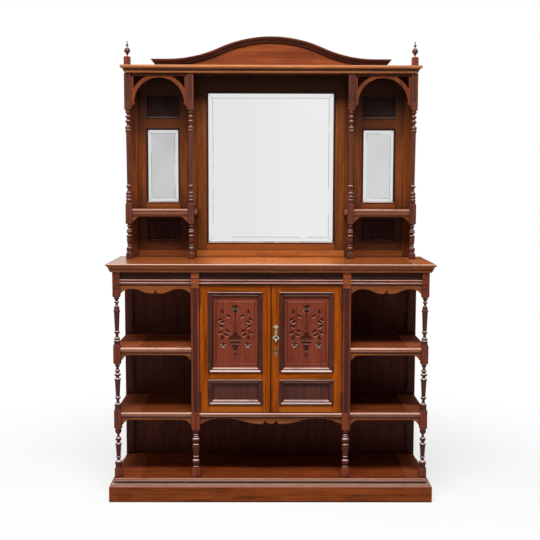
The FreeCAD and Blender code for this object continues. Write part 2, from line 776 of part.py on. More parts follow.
# Open shelves
def side_shelves():
    outer = carcase_half - dim.shelf_side_inset
    front = post_face + dim.shelf_setback
    post_back = post_face + dim.front_post_square
    rear_front = carcase_back - dim.rear_post_square
    shelf_bracket = (dim.shelf_apron_height, dim.shelf_bracket_drop, dim.shelf_bracket_length)
    shelves = []
    aprons = []
    for name, top in (("lower", dim.lower_shelf_height), ("upper", dim.upper_shelf_height)):
        profile = nosed_profile(front, back_board_face, top, dim.shelf_nose_height, dim.shelf_nose_step,
                                dim.shelf_thick)
        blank = run_of(f"{name}_shelf", profile, "x", -outer, -pilaster_half)
        room = (top - dim.shelf_thick, top)
        post_notch = box(f"{name}_shelf_post_notch", (-carcase_half, -bay_outer), (post_face, post_back),
                         room)
        rear_notch = box(f"{name}_shelf_rear_notch", (-carcase_half, dim.rear_post_square - carcase_half),
                         (rear_front, carcase_back), room)
        shelves.append(cut(f"{name}_shelf", blank, post_notch, rear_notch))
        aprons.append(bracket_apron(f"{name}_shelf_apron", bay_outer, pilaster_half, top - dim.shelf_thick,
                                    shelf_bracket, post_face + dim.apron_setback))
    left = node(group("side_shelves_left", shelves), "side_shelves_left")
    node(mirrored("side_shelves_right", left), "side_shelves_right")
    left_aprons = group("shelf_aprons_left", aprons)
    node(group("shelf_aprons", aprons + [mirrored("shelf_aprons_right", left_aprons)]), "shelf_aprons")


def bracket_apron(label, outer, inner, top, shape, front):
    """A strip under a shelf, with a hollowed bracket at each end, on the left side."""
    height, drop, length = shape
    tip = dim.shelf_bracket_tip
    low = top - drop
    edge = top - height
    corners = [(-outer, top), (-outer, low), (tip - outer, low, "plumb_end"), (length - outer, edge),
               (-inner - length, edge, "plumb_start"), (-inner - tip, low), (-inner, low), (-inner, top)]
    return shaped_board(label, [corners], front + dim.apron_thick, dim.apron_thick)


# Frieze and its scrolled aprons
def frieze_rails():
    front = post_face + dim.frieze_setback
    recess = front + dim.frieze_recess
    back = front + dim.frieze_thick
    lip = front + dim.frieze_bead_lift
    bead = dim.frieze_bead_height
    first_top = frieze_under + dim.frieze_bead_lift + bead
    second_low = first_top + dim.frieze_bead_gap
    second_top = second_low + bead
    corners = [(recess, counter_under), (recess, second_top), (lip, second_top, "level_end"),
               (front, second_low + bead * half_share, "level_start"), (lip, second_low),
               (lip, first_top, "level_end"), (front, first_top - bead * half_share, "level_start"),
               (lip, first_top - bead), (lip, frieze_under), (back, frieze_under), (back, counter_under)]
    side = run_of("frieze_side", corners, "x", -bay_outer, -pilaster_half)
    middle = run_of("frieze_middle", corners, "x", -cupboard_half, cupboard_half)
    node(group("frieze_rails", [side, middle, mirrored("frieze_side", side)]), "frieze_rails")


def scroll_edge(outer, top, shape, lobe):
    """Half of a scrolled lower edge, from the end bracket to the slot beside the middle."""
    height, drop, bracket_run, scroll_run = shape
    low = top - drop
    high = top - height
    crest = outer - dim.apron_bracket_tip - bracket_run
    dip = lobe + dim.apron_slot + dim.apron_curl
    turn = dip + scroll_run * half_share
    middle = (low + high) * half_share
    return [(outer, low), (outer - dim.apron_bracket_tip, low, "plumb_end"), (crest, high),
            (dip + scroll_run, high, "plumb_start"), (turn, middle, "plumb_end"),
            (dip, low, "plumb_start"), (lobe + dim.apron_slot, low + dim.apron_curl)]


def scrolled_apron(label, outer, inner, top, shape, lobe):
    """A scrolled strip between two posts, the same either side of its middle.
    Its shape is the height left at the crests, the drop, and the runs of its brackets and scrolls."""
    middle = (outer + inner) * half_share
    half = (inner - outer) * half_share
    right = scroll_edge(half, top, shape, lobe)
    swap = {"plumb_start": "plumb_end", "plumb_end": "plumb_start"}
    corners = [(middle + half, top)]
    corners += [(middle + corner[0],) + tuple(corner[1:]) for corner in right]
    low = top - shape[1]
    slot = low + dim.apron_curl + dim.apron_slot
    if lobe.value > 0:
        corners += [(middle + lobe, slot), (middle + lobe * half_share, low + dim.apron_slot, "plumb_end"),
                    (middle, low, "plumb_start"), (middle - lobe * half_share, low + dim.apron_slot),
                    (middle - lobe, slot)]
    else:
        corners.append((middle, slot))
    for number in range(len(right) - 1, -1, -1):
        place = (middle - right[number][0], right[number][1])
        bow = right[number - 1][2] if number and len(right[number - 1]) > 2 else None
        corners.append(place + ((swap[bow],) if bow else ()))
    corners.append((middle - half, top))
    front = post_face + dim.apron_setback
    return shaped_board(label, [corners], front + dim.apron_thick, dim.apron_thick)


def scrolled_aprons():
    frieze_shape = (dim.frieze_apron_height, dim.frieze_apron_drop, dim.frieze_bracket_run,
                    dim.frieze_scroll_run)
    side = scrolled_apron("frieze_apron", -bay_outer, -pilaster_half, frieze_under, frieze_shape, zero)
    node(both_sides("frieze_aprons", side), "frieze_aprons")
    cupboard_shape = (dim.cupboard_apron_height, dim.cupboard_apron_drop, dim.cupboard_bracket_run,
                      dim.cupboard_scroll_run)
    floor_under = dim.lower_shelf_height - dim.cupboard_floor_thick
    middle = scrolled_apron("cupboard_apron", -cupboard_half, cupboard_half, floor_under, cupboard_shape,
                            dim.apron_lobe_half)
    node(middle, "cupboard_apron")


def counter_top():
    top = dim.counter_height
    lip = top - dim.counter_lip
    cove = lip - dim.counter_cove_drop
    fillet = cove - dim.counter_fillet
    hollow = dim.counter_lip_step + dim.counter_cove_inset
    neck = hollow + dim.counter_quirk
    profile = [(dim.counter_edge_round, top, "plumb_start"), (zero, top - dim.counter_edge_round),
               (zero, lip), (dim.counter_lip_step, lip, "level_end"), (hollow, cove), (hollow, fillet),
               (neck, fillet), (neck, fillet - dim.counter_quirk, "level_start"),
               (neck + dim.counter_bead_inset, counter_under)]
    board = moulded_board("counter_top", profile, counter_half, counter_front, dim.counter_depth / 2)
    node(board, "counter_top")


# Cupboard box
def cupboard():
    floor_under = dim.lower_shelf_height - dim.cupboard_floor_thick
    pilaster_back = post_face + dim.cupboard_post_square
    side_inner = pilaster_half - dim.cupboard_side_thick
    side = box("cupboard_side", (-pilaster_half, -side_inner), (pilaster_back, back_board_face),
               (floor_under, counter_under))
    node(both_sides("cupboard_sides", side), "cupboard_sides")
    front = post_face - dim.cupboard_floor_nose
    profile = nosed_profile(front, back_board_face, dim.lower_shelf_height, dim.shelf_nose_height,
                            dim.shelf_nose_step, dim.cupboard_floor_thick)
    blank = run_of("cupboard_floor", profile, "x", -side_inner, side_inner)
    room = (floor_under, dim.lower_shelf_height)
    notch = box("cupboard_floor_notch", (-side_inner, -cupboard_half), (front, pilaster_back), room)
    floor = cut("cupboard_floor", blank, notch, mirrored("cupboard_floor_notch", notch))
    node(floor, "cupboard_floor")
    shelf_front = post_face + dim.cupboard_shelf_setback
    shelf_under = dim.cupboard_shelf_height - dim.cupboard_shelf_thick
    shelf = box("cupboard_shelf_board", (-side_inner, side_inner), (shelf_front, back_board_face),
                (shelf_under, dim.cupboard_shelf_height))
    node(shelf, "cupboard_shelf")
    cleat_across = (-side_inner, dim.cleat_square - side_inner)
    cleat = box("cupboard_cleat", cleat_across, (shelf_front, back_board_face),
                (shelf_under - dim.cleat_square, shelf_under))
    node(both_sides("cupboard_cleats", cleat), "cupboard_cleats")


# Doors
low_panel_low = door_low + dim.door_bottom_rail
low_panel_rows = (low_panel_low, low_panel_low + dim.door_low_panel_height)
mid_rail_rows = (low_panel_rows[1], low_panel_rows[1] + dim.door_mid_rail)
high_panel_rows = (mid_rail_rows[1], door_high - dim.door_top_rail)
door_opening = (dim.door_stile - door_hinge_edge, -door_meeting_edge - dim.door_stile)
lock_span = (door_meeting_edge, door_meeting_edge + dim.lock_width)
lock_middle = dim.handle_height - dim.escutcheon_below
lock_rows = (lock_middle - dim.lock_height * half_share, lock_middle + dim.lock_height * half_share)
stile_middle = door_meeting_edge + dim.door_stile * half_share
bolt_front = door_back - dim.lock_bolt_back - dim.lock_bolt_thick


def mitred_frame(across, up, face, section):
    """Four mitred lengths round an opening; the section is a list of (inwards, forwards, bow) points."""
    left, right = across
    low, high = up
    reach = max(point[0] for point in section)
    lengths = []
    sides = [((left, low), (0, 1), (1, 0), high - low), ((right, low), (0, 1), (-1, 0), high - low),
             ((left, low), (1, 0), (0, 1), right - left), ((left, high), (1, 0), (0, -1), right - left)]
    highest = max(point[1] for point in section)
    lowest = min(point[1] for point in section)
    for corner, along, inwards, length in sides:
        def spot(run, inset, forward):
            return FreeCAD.Vector(corner[0] + along[0] * run + inwards[0] * inset, face - forward,
                                  corner[1] + along[1] * run + inwards[1] * inset)
        edges = []
        for number, (inset, forward, bow) in enumerate(section):
            following = section[(number + 1) % len(section)]
            start = spot(0, inset, forward)
            end = spot(0, following[0], following[1])
            step = (following[0] - inset, following[1] - forward)
            middle = spot(0, inset + step[0] / 2 - step[1] * bow, forward + step[1] / 2 + step[0] * bow)
            curve = Part.Arc(start, middle, end) if bow else Part.LineSegment(start, end)
            edges.append(curve.toShape())
        direction = FreeCAD.Vector(along[0], 0, along[1]) * length
        bar = Part.Face(Part.Wire(edges)).extrude(direction)
        plan = [spot(run, inset, highest) for run, inset in
                ((0, 0), (reach, reach), (length - reach, reach), (length, 0))]
        mitre = Part.Face(Part.makePolygon(plan + plan[:1])).extrude(FreeCAD.Vector(0, highest - lowest, 0))
        lengths.append(bar.common(mitre))
    return lengths


def door_mouldings(label):
    width = dim.bolection_width.value
    rise = dim.bolection_rise.value
    lap = dim.bolection_lap.value
    sunk = -dim.door_panel_setback.value
    section = [(width * share, rise * rise_share, bow) for share, rise_share, bow in bolection_shares]
    section += [(width, sunk, 0), (lap, sunk, 0), (lap, 0, 0)]
    lengths = []
    across = (door_opening[0].value - lap, door_opening[1].value + lap)
    for rows in (low_panel_rows, high_panel_rows):
        up = (rows[0].value - lap, rows[1].value + lap)
        lengths += mitred_frame(across, up, door_face.value, section)
    return feature(label, Part.makeCompound(lengths))


def doors():
    depth = (door_face, door_back)
    hinge_stile = box("hinge_stile", (-door_hinge_edge, door_opening[0]), depth, (door_low, door_high))
    meeting_stile = box("meeting_stile", (door_opening[1], -door_meeting_edge), depth, (door_low, door_high))
    rails = [box(f"door_rail_{name}", door_opening, depth, rows) for name, rows in (
        ("bottom", (door_low, low_panel_rows[0])), ("middle", mid_rail_rows),
        ("top", (high_panel_rows[1], door_high)))]
    panel_front = door_face + dim.door_panel_setback
    panel_depth = (panel_front, panel_front + dim.door_panel_thick)
    carved = box("door_carved_panel", door_opening, panel_depth, high_panel_rows)
    reeded = box("door_reeded_panel", door_opening, panel_depth, low_panel_rows)
    bolt_room = (bolt_front - dim.lock_bolt_fit, bolt_front + dim.lock_bolt_thick + dim.lock_bolt_fit)
    bolt_rows = (lock_middle - dim.lock_bolt_height * half_share - dim.lock_bolt_fit,
                 lock_middle + dim.lock_bolt_height * half_share + dim.lock_bolt_fit)
    keep_across = (-door_meeting_edge - dim.lock_bolt_throw, -door_meeting_edge)
    keep = box("lock_keep", keep_across, bolt_room, bolt_rows)
    stiles = [hinge_stile, cut("left_meeting_stile", meeting_stile, keep)]
    node(group("left_door_stiles", stiles), "left_door_stiles")
    lock_room = box("lock_room", lock_span, (door_back - dim.lock_thick, door_back), lock_rows)
    key_place = (stile_middle, door_face, lock_middle)
    key_room = rod("key_room", dim.keyhole_radius, key_place, dim.door_thick, "y")
    right_meeting = cut("right_meeting_stile", mirrored("meeting_stile", meeting_stile), lock_room, key_room)
    right_stiles = [mirrored("hinge_stile", hinge_stile), right_meeting]
    node(group("right_door_stiles", right_stiles), "right_door_stiles")
    left_rails = node(group("left_door_rails", rails), "left_door_rails")
    node(mirrored("right_door_rails", left_rails), "right_door_rails")
    node(mirrored("right_door_carved_panel", carved), "right_door_carved_panel")
    node(carved, "left_door_carved_panel")
    node(mirrored("right_door_reeded_panel", reeded), "right_door_reeded_panel")
    node(reeded, "left_door_reeded_panel")
    left_mouldings = node(door_mouldings("left_door_mouldings"), "left_door_mouldings")
    node(mirrored("right_door_mouldings", left_mouldings), "right_door_mouldings")
    bead = dim.meeting_bead_width * half_share
    bead_middle = door_meeting_edge + bead
    corners = [(door_meeting_edge, door_face, "level_start"), (bead_middle, door_face - bead, "level_end"),
               (bead_middle + bead, door_face)]
    node(run_of("meeting_bead", corners, "z", door_low, door_high), "meeting_bead")


# Butt hinges: knuckles stand in front of the joint between door and post
hinge_axis = (-cupboard_half + dim.hinge_gap * half_share,
              post_face - dim.hinge_knuckle_radius - dim.hinge_knuckle_gap)


def hinge_leaf(label, low, plate_across, knuckles, bore):
    """One leaf with its knuckles; the knuckles are numbered from the foot of the hinge."""
    pitch = dim.hinge_height / hinge_knuckle_count
    gap = dim.hinge_knuckle_gap * half_share
    plate_front = post_face + dim.hinge_knuckle_gap
    plate = box(f"{label}_plate", plate_across, (plate_front, plate_front + dim.hinge_leaf_width),
                (low, low + dim.hinge_height))
    members = [plate]
    for number in knuckles:
        start = low + pitch * number + gap
        end = low + pitch * (number + 1) - gap
        members.append(box(f"{label}_tab_{number}", plate_across, (hinge_axis[1], plate_front), (start, end)))
        members.append(rod(f"{label}_knuckle_{number}", dim.hinge_knuckle_radius, hinge_axis + (start,),
                           end - start, "z"))
    hole = rod(f"{label}_bore", bore, hinge_axis + (low,), dim.hinge_height, "z")
    return cut(label, fuse(label, *members), hole)


def hinges():
    post_across = (-cupboard_half, dim.hinge_leaf_thick - cupboard_half)
    door_across = (-door_hinge_edge - dim.hinge_leaf_thick, -door_hinge_edge)
    post_side = []
    door_side = []
    for name, low in (("low", door_low + dim.hinge_end_margin),
                      ("high", door_high - dim.hinge_end_margin - dim.hinge_height)):
        post_leaf = hinge_leaf(f"hinge_{name}_post", low, post_across, range(0, hinge_knuckle_count, 2),
                               dim.hinge_pin_radius)
        pin = rod(f"hinge_{name}_pin", dim.hinge_pin_radius, hinge_axis + (low,), dim.hinge_height, "z")
        post_side += [post_leaf, pin]
        door_side.append(hinge_leaf(f"hinge_{name}_door", low, door_across, range(1, hinge_knuckle_count, 2),
                                    dim.hinge_pin_radius + dim.hinge_fit))
    post_group = group("hinge_post_left", post_side)
    post_leaves = post_side + [mirrored("hinge_post_right", post_group)]
    node(group("hinge_post_leaves", post_leaves), "hinge_post_leaves")
    left = node(group("left_door_hinge_leaves", door_side), "left_door_hinge_leaves")
    node(mirrored("right_door_hinge_leaves", left), "right_door_hinge_leaves")


# Brass on the right door
def plate_outline(shares, middle, half, low, height):
    """A symmetrical plate outline from shares of half its width and of its height, top to bottom."""
    right = [(middle + half * wide, low + height * up) for wide, up in shares]
    left = [(middle - half * wide, low + height * up) for wide, up in reversed(shares) if wide > 0]
    return right + left


def drop_handle():
    pivot = dim.handle_height
    plate_low = pivot - dim.handle_plate_height * handle_pivot_share
    outline = plate_outline(handle_plate_shares, stile_middle, dim.handle_plate_width * half_share, plate_low,
                            dim.handle_plate_height)
    plate = shaped_board("handle_plate", [outline], door_face, dim.handle_plate_thick)
    plate_front = door_face - dim.handle_plate_thick
    pivot_depth = plate_front - dim.handle_lug_reach + dim.handle_lug_height * half_share
    eye_half = dim.handle_eye_width * half_share
    lug_inner = eye_half + dim.handle_side_gap
    lug_outer = lug_inner + dim.handle_lug_width
    lug_rows = (pivot - dim.handle_lug_height * half_share, pivot + dim.handle_lug_height * half_share)
    lug_depth = (plate_front - dim.handle_lug_reach, plate_front)
    left_across = (stile_middle - lug_outer, stile_middle - lug_inner)
    right_across = (stile_middle + lug_inner, stile_middle + lug_outer)
    left_lug = box("handle_lug_left", left_across, lug_depth, lug_rows)
    right_lug = box("handle_lug_right", right_across, lug_depth, lug_rows)
    pin = rod("handle_pin", dim.handle_pin_radius, (stile_middle - lug_outer, pivot_depth, pivot),
              lug_outer + lug_outer, "x")
    node(fuse("handle_backplate", plate, left_lug, right_lug, pin), "handle_backplate")
    low = pivot - dim.handle_drop_length
    half = dim.handle_drop_width * half_share
    back = pivot_depth + dim.handle_drop_thick * half_share
    outline = plate_outline(drop_shares, stile_middle, half, low, dim.handle_drop_length)
    holes = []
    for side in (1, -1):
        holes.append([(stile_middle + half * (side * wide), low + dim.handle_drop_length * up)
                      for wide, up in drop_hole_shares])
    loop = shaped_board("handle_loop", [outline] + holes, back, dim.handle_drop_thick)
    eye = rod("handle_eye", dim.handle_eye_radius, (stile_middle - eye_half, pivot_depth, pivot),
              dim.handle_eye_width, "x")
    bore = rod("handle_bore", dim.handle_pin_radius + dim.handle_fit,
               (stile_middle - lug_outer, pivot_depth, pivot), lug_outer + lug_outer, "x")
    node(cut("handle_drop", fuse("handle_drop", loop, eye), bore), "handle_drop")


def escutcheon_and_lock():
    low = lock_middle - dim.escutcheon_height * half_share
    outline = plate_outline(escutcheon_shares, stile_middle, dim.escutcheon_width * half_share, low,
                            dim.escutcheon_height)
    plate = shaped_board("escutcheon_plate", [outline], door_face, dim.escutcheon_thick)
    front = door_face - dim.escutcheon_thick
    hole_place = (stile_middle, front, lock_middle)
    hole = rod("keyhole_round", dim.keyhole_radius, hole_place, dim.escutcheon_thick, "y")
    slot_half = dim.keyhole_slot_width * half_share
    slot = box("keyhole_slot", (stile_middle - slot_half, stile_middle + slot_half), (front, door_face),
               (lock_middle - dim.keyhole_slot_drop, lock_middle))
    node(cut("key_escutcheon", plate, hole, slot), "key_escutcheon")
    case = box("lock_case", lock_span, (door_back - dim.lock_thick, door_back), lock_rows)
    bolt_depth = (bolt_front, bolt_front + dim.lock_bolt_thick)
    half = dim.lock_bolt_height * half_share
    room_end = door_meeting_edge + dim.lock_bolt_length + dim.lock_bolt_fit
    room = box("lock_bolt_room", (door_meeting_edge, room_end),
               (bolt_depth[0] - dim.lock_bolt_fit, bolt_depth[1] + dim.lock_bolt_fit),
               (lock_middle - half - dim.lock_bolt_fit, lock_middle + half + dim.lock_bolt_fit))
    node(cut("door_lock", case, room), "door_lock")
    bolt = box("lock_bolt_bar", (door_meeting_edge, door_meeting_edge + dim.lock_bolt_length), bolt_depth,
               (lock_middle - half, lock_middle + half))
    node(bolt, "lock_bolt")


def left_door_bolt():
    middle = -stile_middle
    top = door_high - dim.bolt_top_margin
    plate_half = dim.bolt_plate_width * half_share
    plate_back = door_back + dim.bolt_plate_thick
    plate_low = top - dim.bolt_plate_height
    plate_across = (middle - plate_half, middle + plate_half)
    plate = box("bolt_base", plate_across, (door_back, plate_back), (plate_low, top))
    bolt_half = dim.bolt_width * half_share
    bar_depth = (plate_back + dim.bolt_fit, plate_back + dim.bolt_fit + dim.bolt_thick)
    guide_half = bolt_half + dim.bolt_fit + dim.bolt_guide_wall
    guide_back = bar_depth[1] + dim.bolt_fit + dim.bolt_guide_wall
    guide_across = (middle - guide_half, middle + guide_half)
    guides = [box(f"bolt_guide_{name}", guide_across, (plate_back, guide_back), rows)
              for name, rows in (("high", (top - dim.bolt_guide_height, top)),
                                 ("low", (plate_low, plate_low + dim.bolt_guide_height)))]
    channel_half = bolt_half + dim.bolt_fit
    channel = box("bolt_channel", (middle - channel_half, middle + channel_half),
                  (plate_back, bar_depth[1] + dim.bolt_fit), (plate_low, top))
    node(cut("bolt_plate", fuse("bolt_plate", plate, *guides), channel), "bolt_plate")
    bar = box("bolt_bar", (middle - bolt_half, middle + bolt_half), bar_depth, (top - dim.bolt_length, top))
    knob_height = plate_low + dim.bolt_plate_height * half_share - dim.bolt_guide_height
    knob_place = (middle, bar_depth[1], knob_height)
    knob = rod("bolt_knob", dim.bolt_knob_radius, knob_place, dim.bolt_knob_reach, "y")
    node(fuse("door_bolt", bar, knob), "door_bolt")


# Mirror back
inner_post_half = dim.inner_post_spacing / 2
post_half = dim.back_post_width / 2
side_bay = (dim.outer_back_post_width - gallery_half, -inner_post_half - post_half)
centre_bay_half = inner_post_half - post_half
frame_low = dim.counter_height + dim.base_rail_height
side_levels = [frame_low]
for rise in (dim.side_bottom_rail, gallery_top - frame_low - dim.side_bottom_rail - dim.side_shelf_rail
             - dim.side_mirror_height - dim.side_mid_rail - dim.side_reed_height - dim.side_top_rail,
             dim.side_shelf_rail, dim.side_mirror_height, dim.side_mid_rail, dim.side_reed_height,
             dim.side_top_rail):
    side_levels.append(side_levels[-1] + rise)
carved_rows, mirror_rows, reed_rows = side_levels[1:3], side_levels[3:5], side_levels[5:7]
side_opening = (side_bay[0] + dim.side_stile, side_bay[1] - dim.side_stile)
centre_opening = dim.centre_stile - centre_bay_half
centre_rows = (frame_low + dim.centre_bottom_rail, gallery_top - dim.centre_top_rail)


def gallery_frames():
    upright = (dim.counter_height, gallery_top)
    depth = (gallery_face, gallery_face + dim.back_post_thick)
    outer = box("back_post_outer", (-gallery_half, side_bay[0]), depth, upright)
    inner = box("back_post_inner", (side_bay[1], -centre_bay_half), depth, upright)
    pair = group("back_posts_left", [outer, inner])
    node(group("back_posts", [outer, inner, mirrored("back_posts_right", pair)]), "back_posts")
    rail_rows = (dim.counter_height, frame_low)
    side_rail = box("base_rail_side", side_bay, depth, rail_rows)
    centre_rail = box("base_rail_centre", (-centre_bay_half, centre_bay_half), depth, rail_rows)
    node(group("base_rails", [side_rail, centre_rail, mirrored("base_rail_side", side_rail)]), "base_rails")
    frame_depth = (gallery_frame_face, gallery_frame_back)
    tall = (frame_low, gallery_top)
    centre_stile = box("mirror_stile", (-centre_bay_half, centre_opening), frame_depth, tall)
    bars = [box(f"mirror_rail_{name}", (centre_opening, -centre_opening), frame_depth, rows)
            for name, rows in (("low", (frame_low, centre_rows[0])), ("high", (centre_rows[1], gallery_top)))]
    node(group("mirror_frame", [centre_stile, mirrored("mirror_stile", centre_stile)] + bars), "mirror_frame")
    pieces = [box("side_stile_outer", (side_bay[0], side_opening[0]), frame_depth, tall),
              box("side_stile_inner", (side_opening[1], side_bay[1]), frame_depth, tall)]
    for number in range(0, len(side_levels) - 1, 2):
        rows = tuple(side_levels[number:number + 2])
        pieces.append(box(f"side_rail_{number}", side_opening, frame_depth, rows))
    left = node(group("side_frame_left", pieces), "side_frame_left")
    node(mirrored("side_frame_right", left), "side_frame_right")


def gallery_slips():
    """Narrow mouldings round the mirrors and the small panels, on the face of the frames."""
    width = dim.slip_width.value
    section = [(0, 0, 0), (0, dim.slip_rise.value, half_share * half_share), (width * half_share, 0, 0),
               (width, -dim.slip_depth.value, 0), (0, -dim.slip_depth.value, 0)]
    lengths = []
    spans = [side_opening, (-side_opening[1], -side_opening[0])]
    frames = [((centre_opening, -centre_opening), centre_rows)]
    frames += [(span, rows) for span in spans for rows in (carved_rows, mirror_rows, reed_rows)]
    for across, up in frames:
        lengths += mitred_frame([edge.value for edge in across], [edge.value for edge in up],
                                gallery_frame_face.value, section)
    node(feature("gallery_slips", Part.makeCompound(lengths)), "gallery_slips")


def bevelled_plate(label, across, up, bevel):
    """A plate of glass with a wide bevel on its front edges."""
    front = gallery_frame_face + dim.slip_depth
    plate = doc.addObject("Part::Wedge", f"{label}_bevel")
    ledge = front + dim.mirror_bevel_drop
    ends = {"X2min": across[0], "X2max": across[1], "Z2min": up[0], "Z2max": up[1], "Ymin": front,
            "Ymax": ledge, "Xmin": across[0] + bevel, "Xmax": across[1] - bevel, "Zmin": up[0] + bevel,
            "Zmax": up[1] - bevel}
    for name, length in ends.items():
        bind(plate, name, length)
    edge = box(f"{label}_edge", across, (ledge, front + dim.mirror_thick), up)
    return fuse(label, plate, edge)


def mirrors():
    back = gallery_frame_face + dim.slip_depth + dim.mirror_thick
    across = (centre_opening, -centre_opening)
    node(bevelled_plate("mirror_centre", across, centre_rows, dim.mirror_bevel), "mirror_centre")
    side = bevelled_plate("side_mirror", side_opening, mirror_rows, dim.side_mirror_bevel)
    node(both_sides("side_mirrors", side), "side_mirrors")
    depth = (back, back + dim.mirror_board_thick)
    centre_board = box("mirror_board_centre", across, depth, centre_rows)
    side_board = box("mirror_board_side", side_opening, depth, tuple(mirror_rows))
    node(group("mirror_boards", [centre_board, side_board, mirrored("mirror_board_side", side_board)]),
         "mirror_boards")
    panel_depth = (gallery_frame_face + dim.slip_depth, back)
    reeded = box("gallery_reeded_panel", side_opening, panel_depth, tuple(reed_rows))
    node(both_sides("gallery_reeded_panels", reeded), "gallery_reeded_panels")
    carved = box("gallery_carved_panel", side_opening, panel_depth, tuple(carved_rows))
    node(both_sides("gallery_carved_panels", carved), "gallery_carved_panels")


# Columns, arches and bracket shelves of the mirror back
column_half = dim.column_square / 2
outer_column = gallery_half - column_half
inner_column = dim.inner_column_spacing / 2
bracket_top = dim.counter_height + dim.bracket_shelf_height
bracket_under = bracket_top - dim.bracket_shelf_thick


def columns():
    square = dim.column_square.value
    block_low = bracket_under - dim.bracket_apron_drop - dim.column_shoulder
    block = (block_low, bracket_top + dim.column_foot_block)
    blocks = [(dim.counter_height, dim.counter_height + dim.column_foot_block), block,
              (gallery_top - dim.column_top_block, gallery_top)]
    spans = [(low.value, high.value) for low, high in blocks]
    stations = stick_stations(square / 2, spans, [column_foot_shares, column_shaft_shares],
                              dim.column_shoulder.value, dim.post_crown.value)
    recess = face_recess(square, dim.column_recess_width.value, dim.column_recess_depth.value,
                         (gallery_top - dim.column_top_block + dim.column_recess_foot).value,
                         (gallery_top - dim.column_recess_margin).value)
    depth = column_face + column_half
    sticks = [turned_stick(f"column_{number}", square, stations, (place, depth), [recess])
              for number, place in enumerate((-outer_column, -inner_column, inner_column, outer_column))]
    node(group("upper_columns", sticks), "upper_columns")


def arches():
    left = column_half - outer_column
    right = -inner_column - column_half
    middle = (left + right) * half_share
    inner_radius = (right - left) * half_share - dim.arch_jamb
    spring = gallery_top - dim.arch_bar - inner_radius - dim.arch_crown
    crown = spring + inner_radius
    cusp = dim.arch_cusp
    tail = spring - dim.arch_tail
    outline = [(left, gallery_top), (left, tail, "level_start"), (middle - inner_radius, spring - cusp),
               (middle - inner_radius + cusp, spring - cusp), (middle - inner_radius, spring, "level_start"),
               (middle, crown, "plumb_start"), (middle + inner_radius, spring),
               (middle + inner_radius - cusp, spring - cusp),
               (middle + inner_radius, spring - cusp, "level_end"),
               (right, tail), (right, gallery_top)]
    spandrels = []
    outer_radius = inner_radius.value + dim.arch_band.value
    jamb_inner = inner_radius + dim.arch_jamb - dim.arch_bar
    shoulder = math.sqrt(outer_radius ** 2 - jamb_inner.value ** 2)
    crossing = math.sqrt(outer_radius ** 2 - (gallery_top - dim.arch_bar - spring).value ** 2)
    front = column_face + dim.arch_setback
    board = shaped_board("arch_board", [outline], front + dim.arch_thick, dim.arch_thick)
    depth = FreeCAD.Vector(0, dim.arch_thick.value, 0)
    ceiling = (gallery_top - dim.arch_bar).value
    for side, wall in ((-1, (left + dim.arch_bar).value), (1, (right - dim.arch_bar).value)):
        corner = FreeCAD.Vector(wall, front.value, ceiling)
        low = FreeCAD.Vector(wall, front.value, spring.value + shoulder)
        far = FreeCAD.Vector(middle.value + side * crossing, front.value, ceiling)
        chord = (low + far) * half_share - FreeCAD.Vector(middle.value, front.value, spring.value)
        waist = FreeCAD.Vector(middle.value, front.value, spring.value) + chord.normalize() * outer_radius
        edges = [Part.LineSegment(corner, low).toShape(), Part.Arc(low, waist, far).toShape(),
                 Part.LineSegment(far, corner).toShape()]
        spandrels.append(Part.Face(Part.Wire(edges)).extrude(depth))
    holes = feature("arch_spandrels", Part.makeCompound(spandrels))
    node(both_sides("arches", cut("arch", board, holes)), "arches")


def bracket_shelves():
    front = column_face + dim.bracket_shelf_front
    column_back = column_face + dim.column_square
    profile = nosed_profile(front, gallery_frame_face, bracket_top, dim.bracket_shelf_nose,
                            dim.bracket_shelf_step, dim.bracket_shelf_thick)
    inner_end = inner_column - column_half - dim.bracket_shelf_return
    blank = run_of("bracket_shelf", profile, "x", -gallery_half, -inner_end)
    room = (bracket_under, bracket_top)
    notches = []
    for name, centre in (("outer", outer_column), ("inner", inner_column)):
        notches.append(box(f"bracket_notch_{name}", (-centre - column_half, column_half - centre),
                           (column_face, column_back), room))
    front_room = (front, column_back)
    notches.append(box("bracket_notch_end", (-inner_column + column_half, -inner_end), front_room, room))
    back_room = (gallery_face, gallery_frame_face)
    notches.append(box("bracket_notch_post_outer", (-gallery_half, side_bay[0]), back_room, room))
    notches.append(box("bracket_notch_post_inner", (side_bay[1], -inner_end), back_room, room))
    node(both_sides("bracket_shelves", cut("bracket_shelf", blank, *notches)), "bracket_shelves")
    apron_shape = (dim.bracket_apron_height, dim.bracket_apron_drop, dim.bracket_apron_length)
    apron = bracket_apron("bracket_shelf_apron", outer_column - column_half, inner_column + column_half,
                          bracket_under, apron_shape, column_face + dim.apron_setback)
    node(both_sides("bracket_aprons", apron), "bracket_aprons")


# Cornice, crest and finials
def cornice():
    lip = cornice_top - dim.cornice_lip
    cove = lip - dim.cornice_cove_drop
    hollow = dim.cornice_lip_round + dim.cornice_cove_inset
    neck = hollow + dim.cornice_quirk
    profile = [(dim.cornice_round, cornice_top, "plumb_start"), (zero, cornice_top - dim.cornice_round),
               (zero, lip + dim.cornice_lip_round, "level_start"), (dim.cornice_lip_round, lip, "level_end"),
               (hollow, cove), (neck, cove, "level_start"), (neck + dim.cornice_bead_inset, gallery_top)]
    half = gallery_half + dim.cornice_side_overhang
    front = column_face - dim.cornice_front_overhang
    back = gallery_face + dim.back_post_thick
    node(moulded_board("cornice", profile, half, front, back), "cornice")


crest_low = cornice_top + dim.crest_end_height
crest_peak = crest_low + dim.crest_rise
crest_front = column_face + dim.crest_setback


def serpentine():
    """The crest's top edge from left to right."""
    run = dim.crest_scroll_half
    middle = (crest_low + crest_peak) * half_share
    return [(-run, crest_low, "plumb_start"), (-run * half_share, middle, "plumb_end"),
            (zero, crest_peak, "plumb_start"), (run * half_share, middle, "plumb_end"), (run, crest_low)]


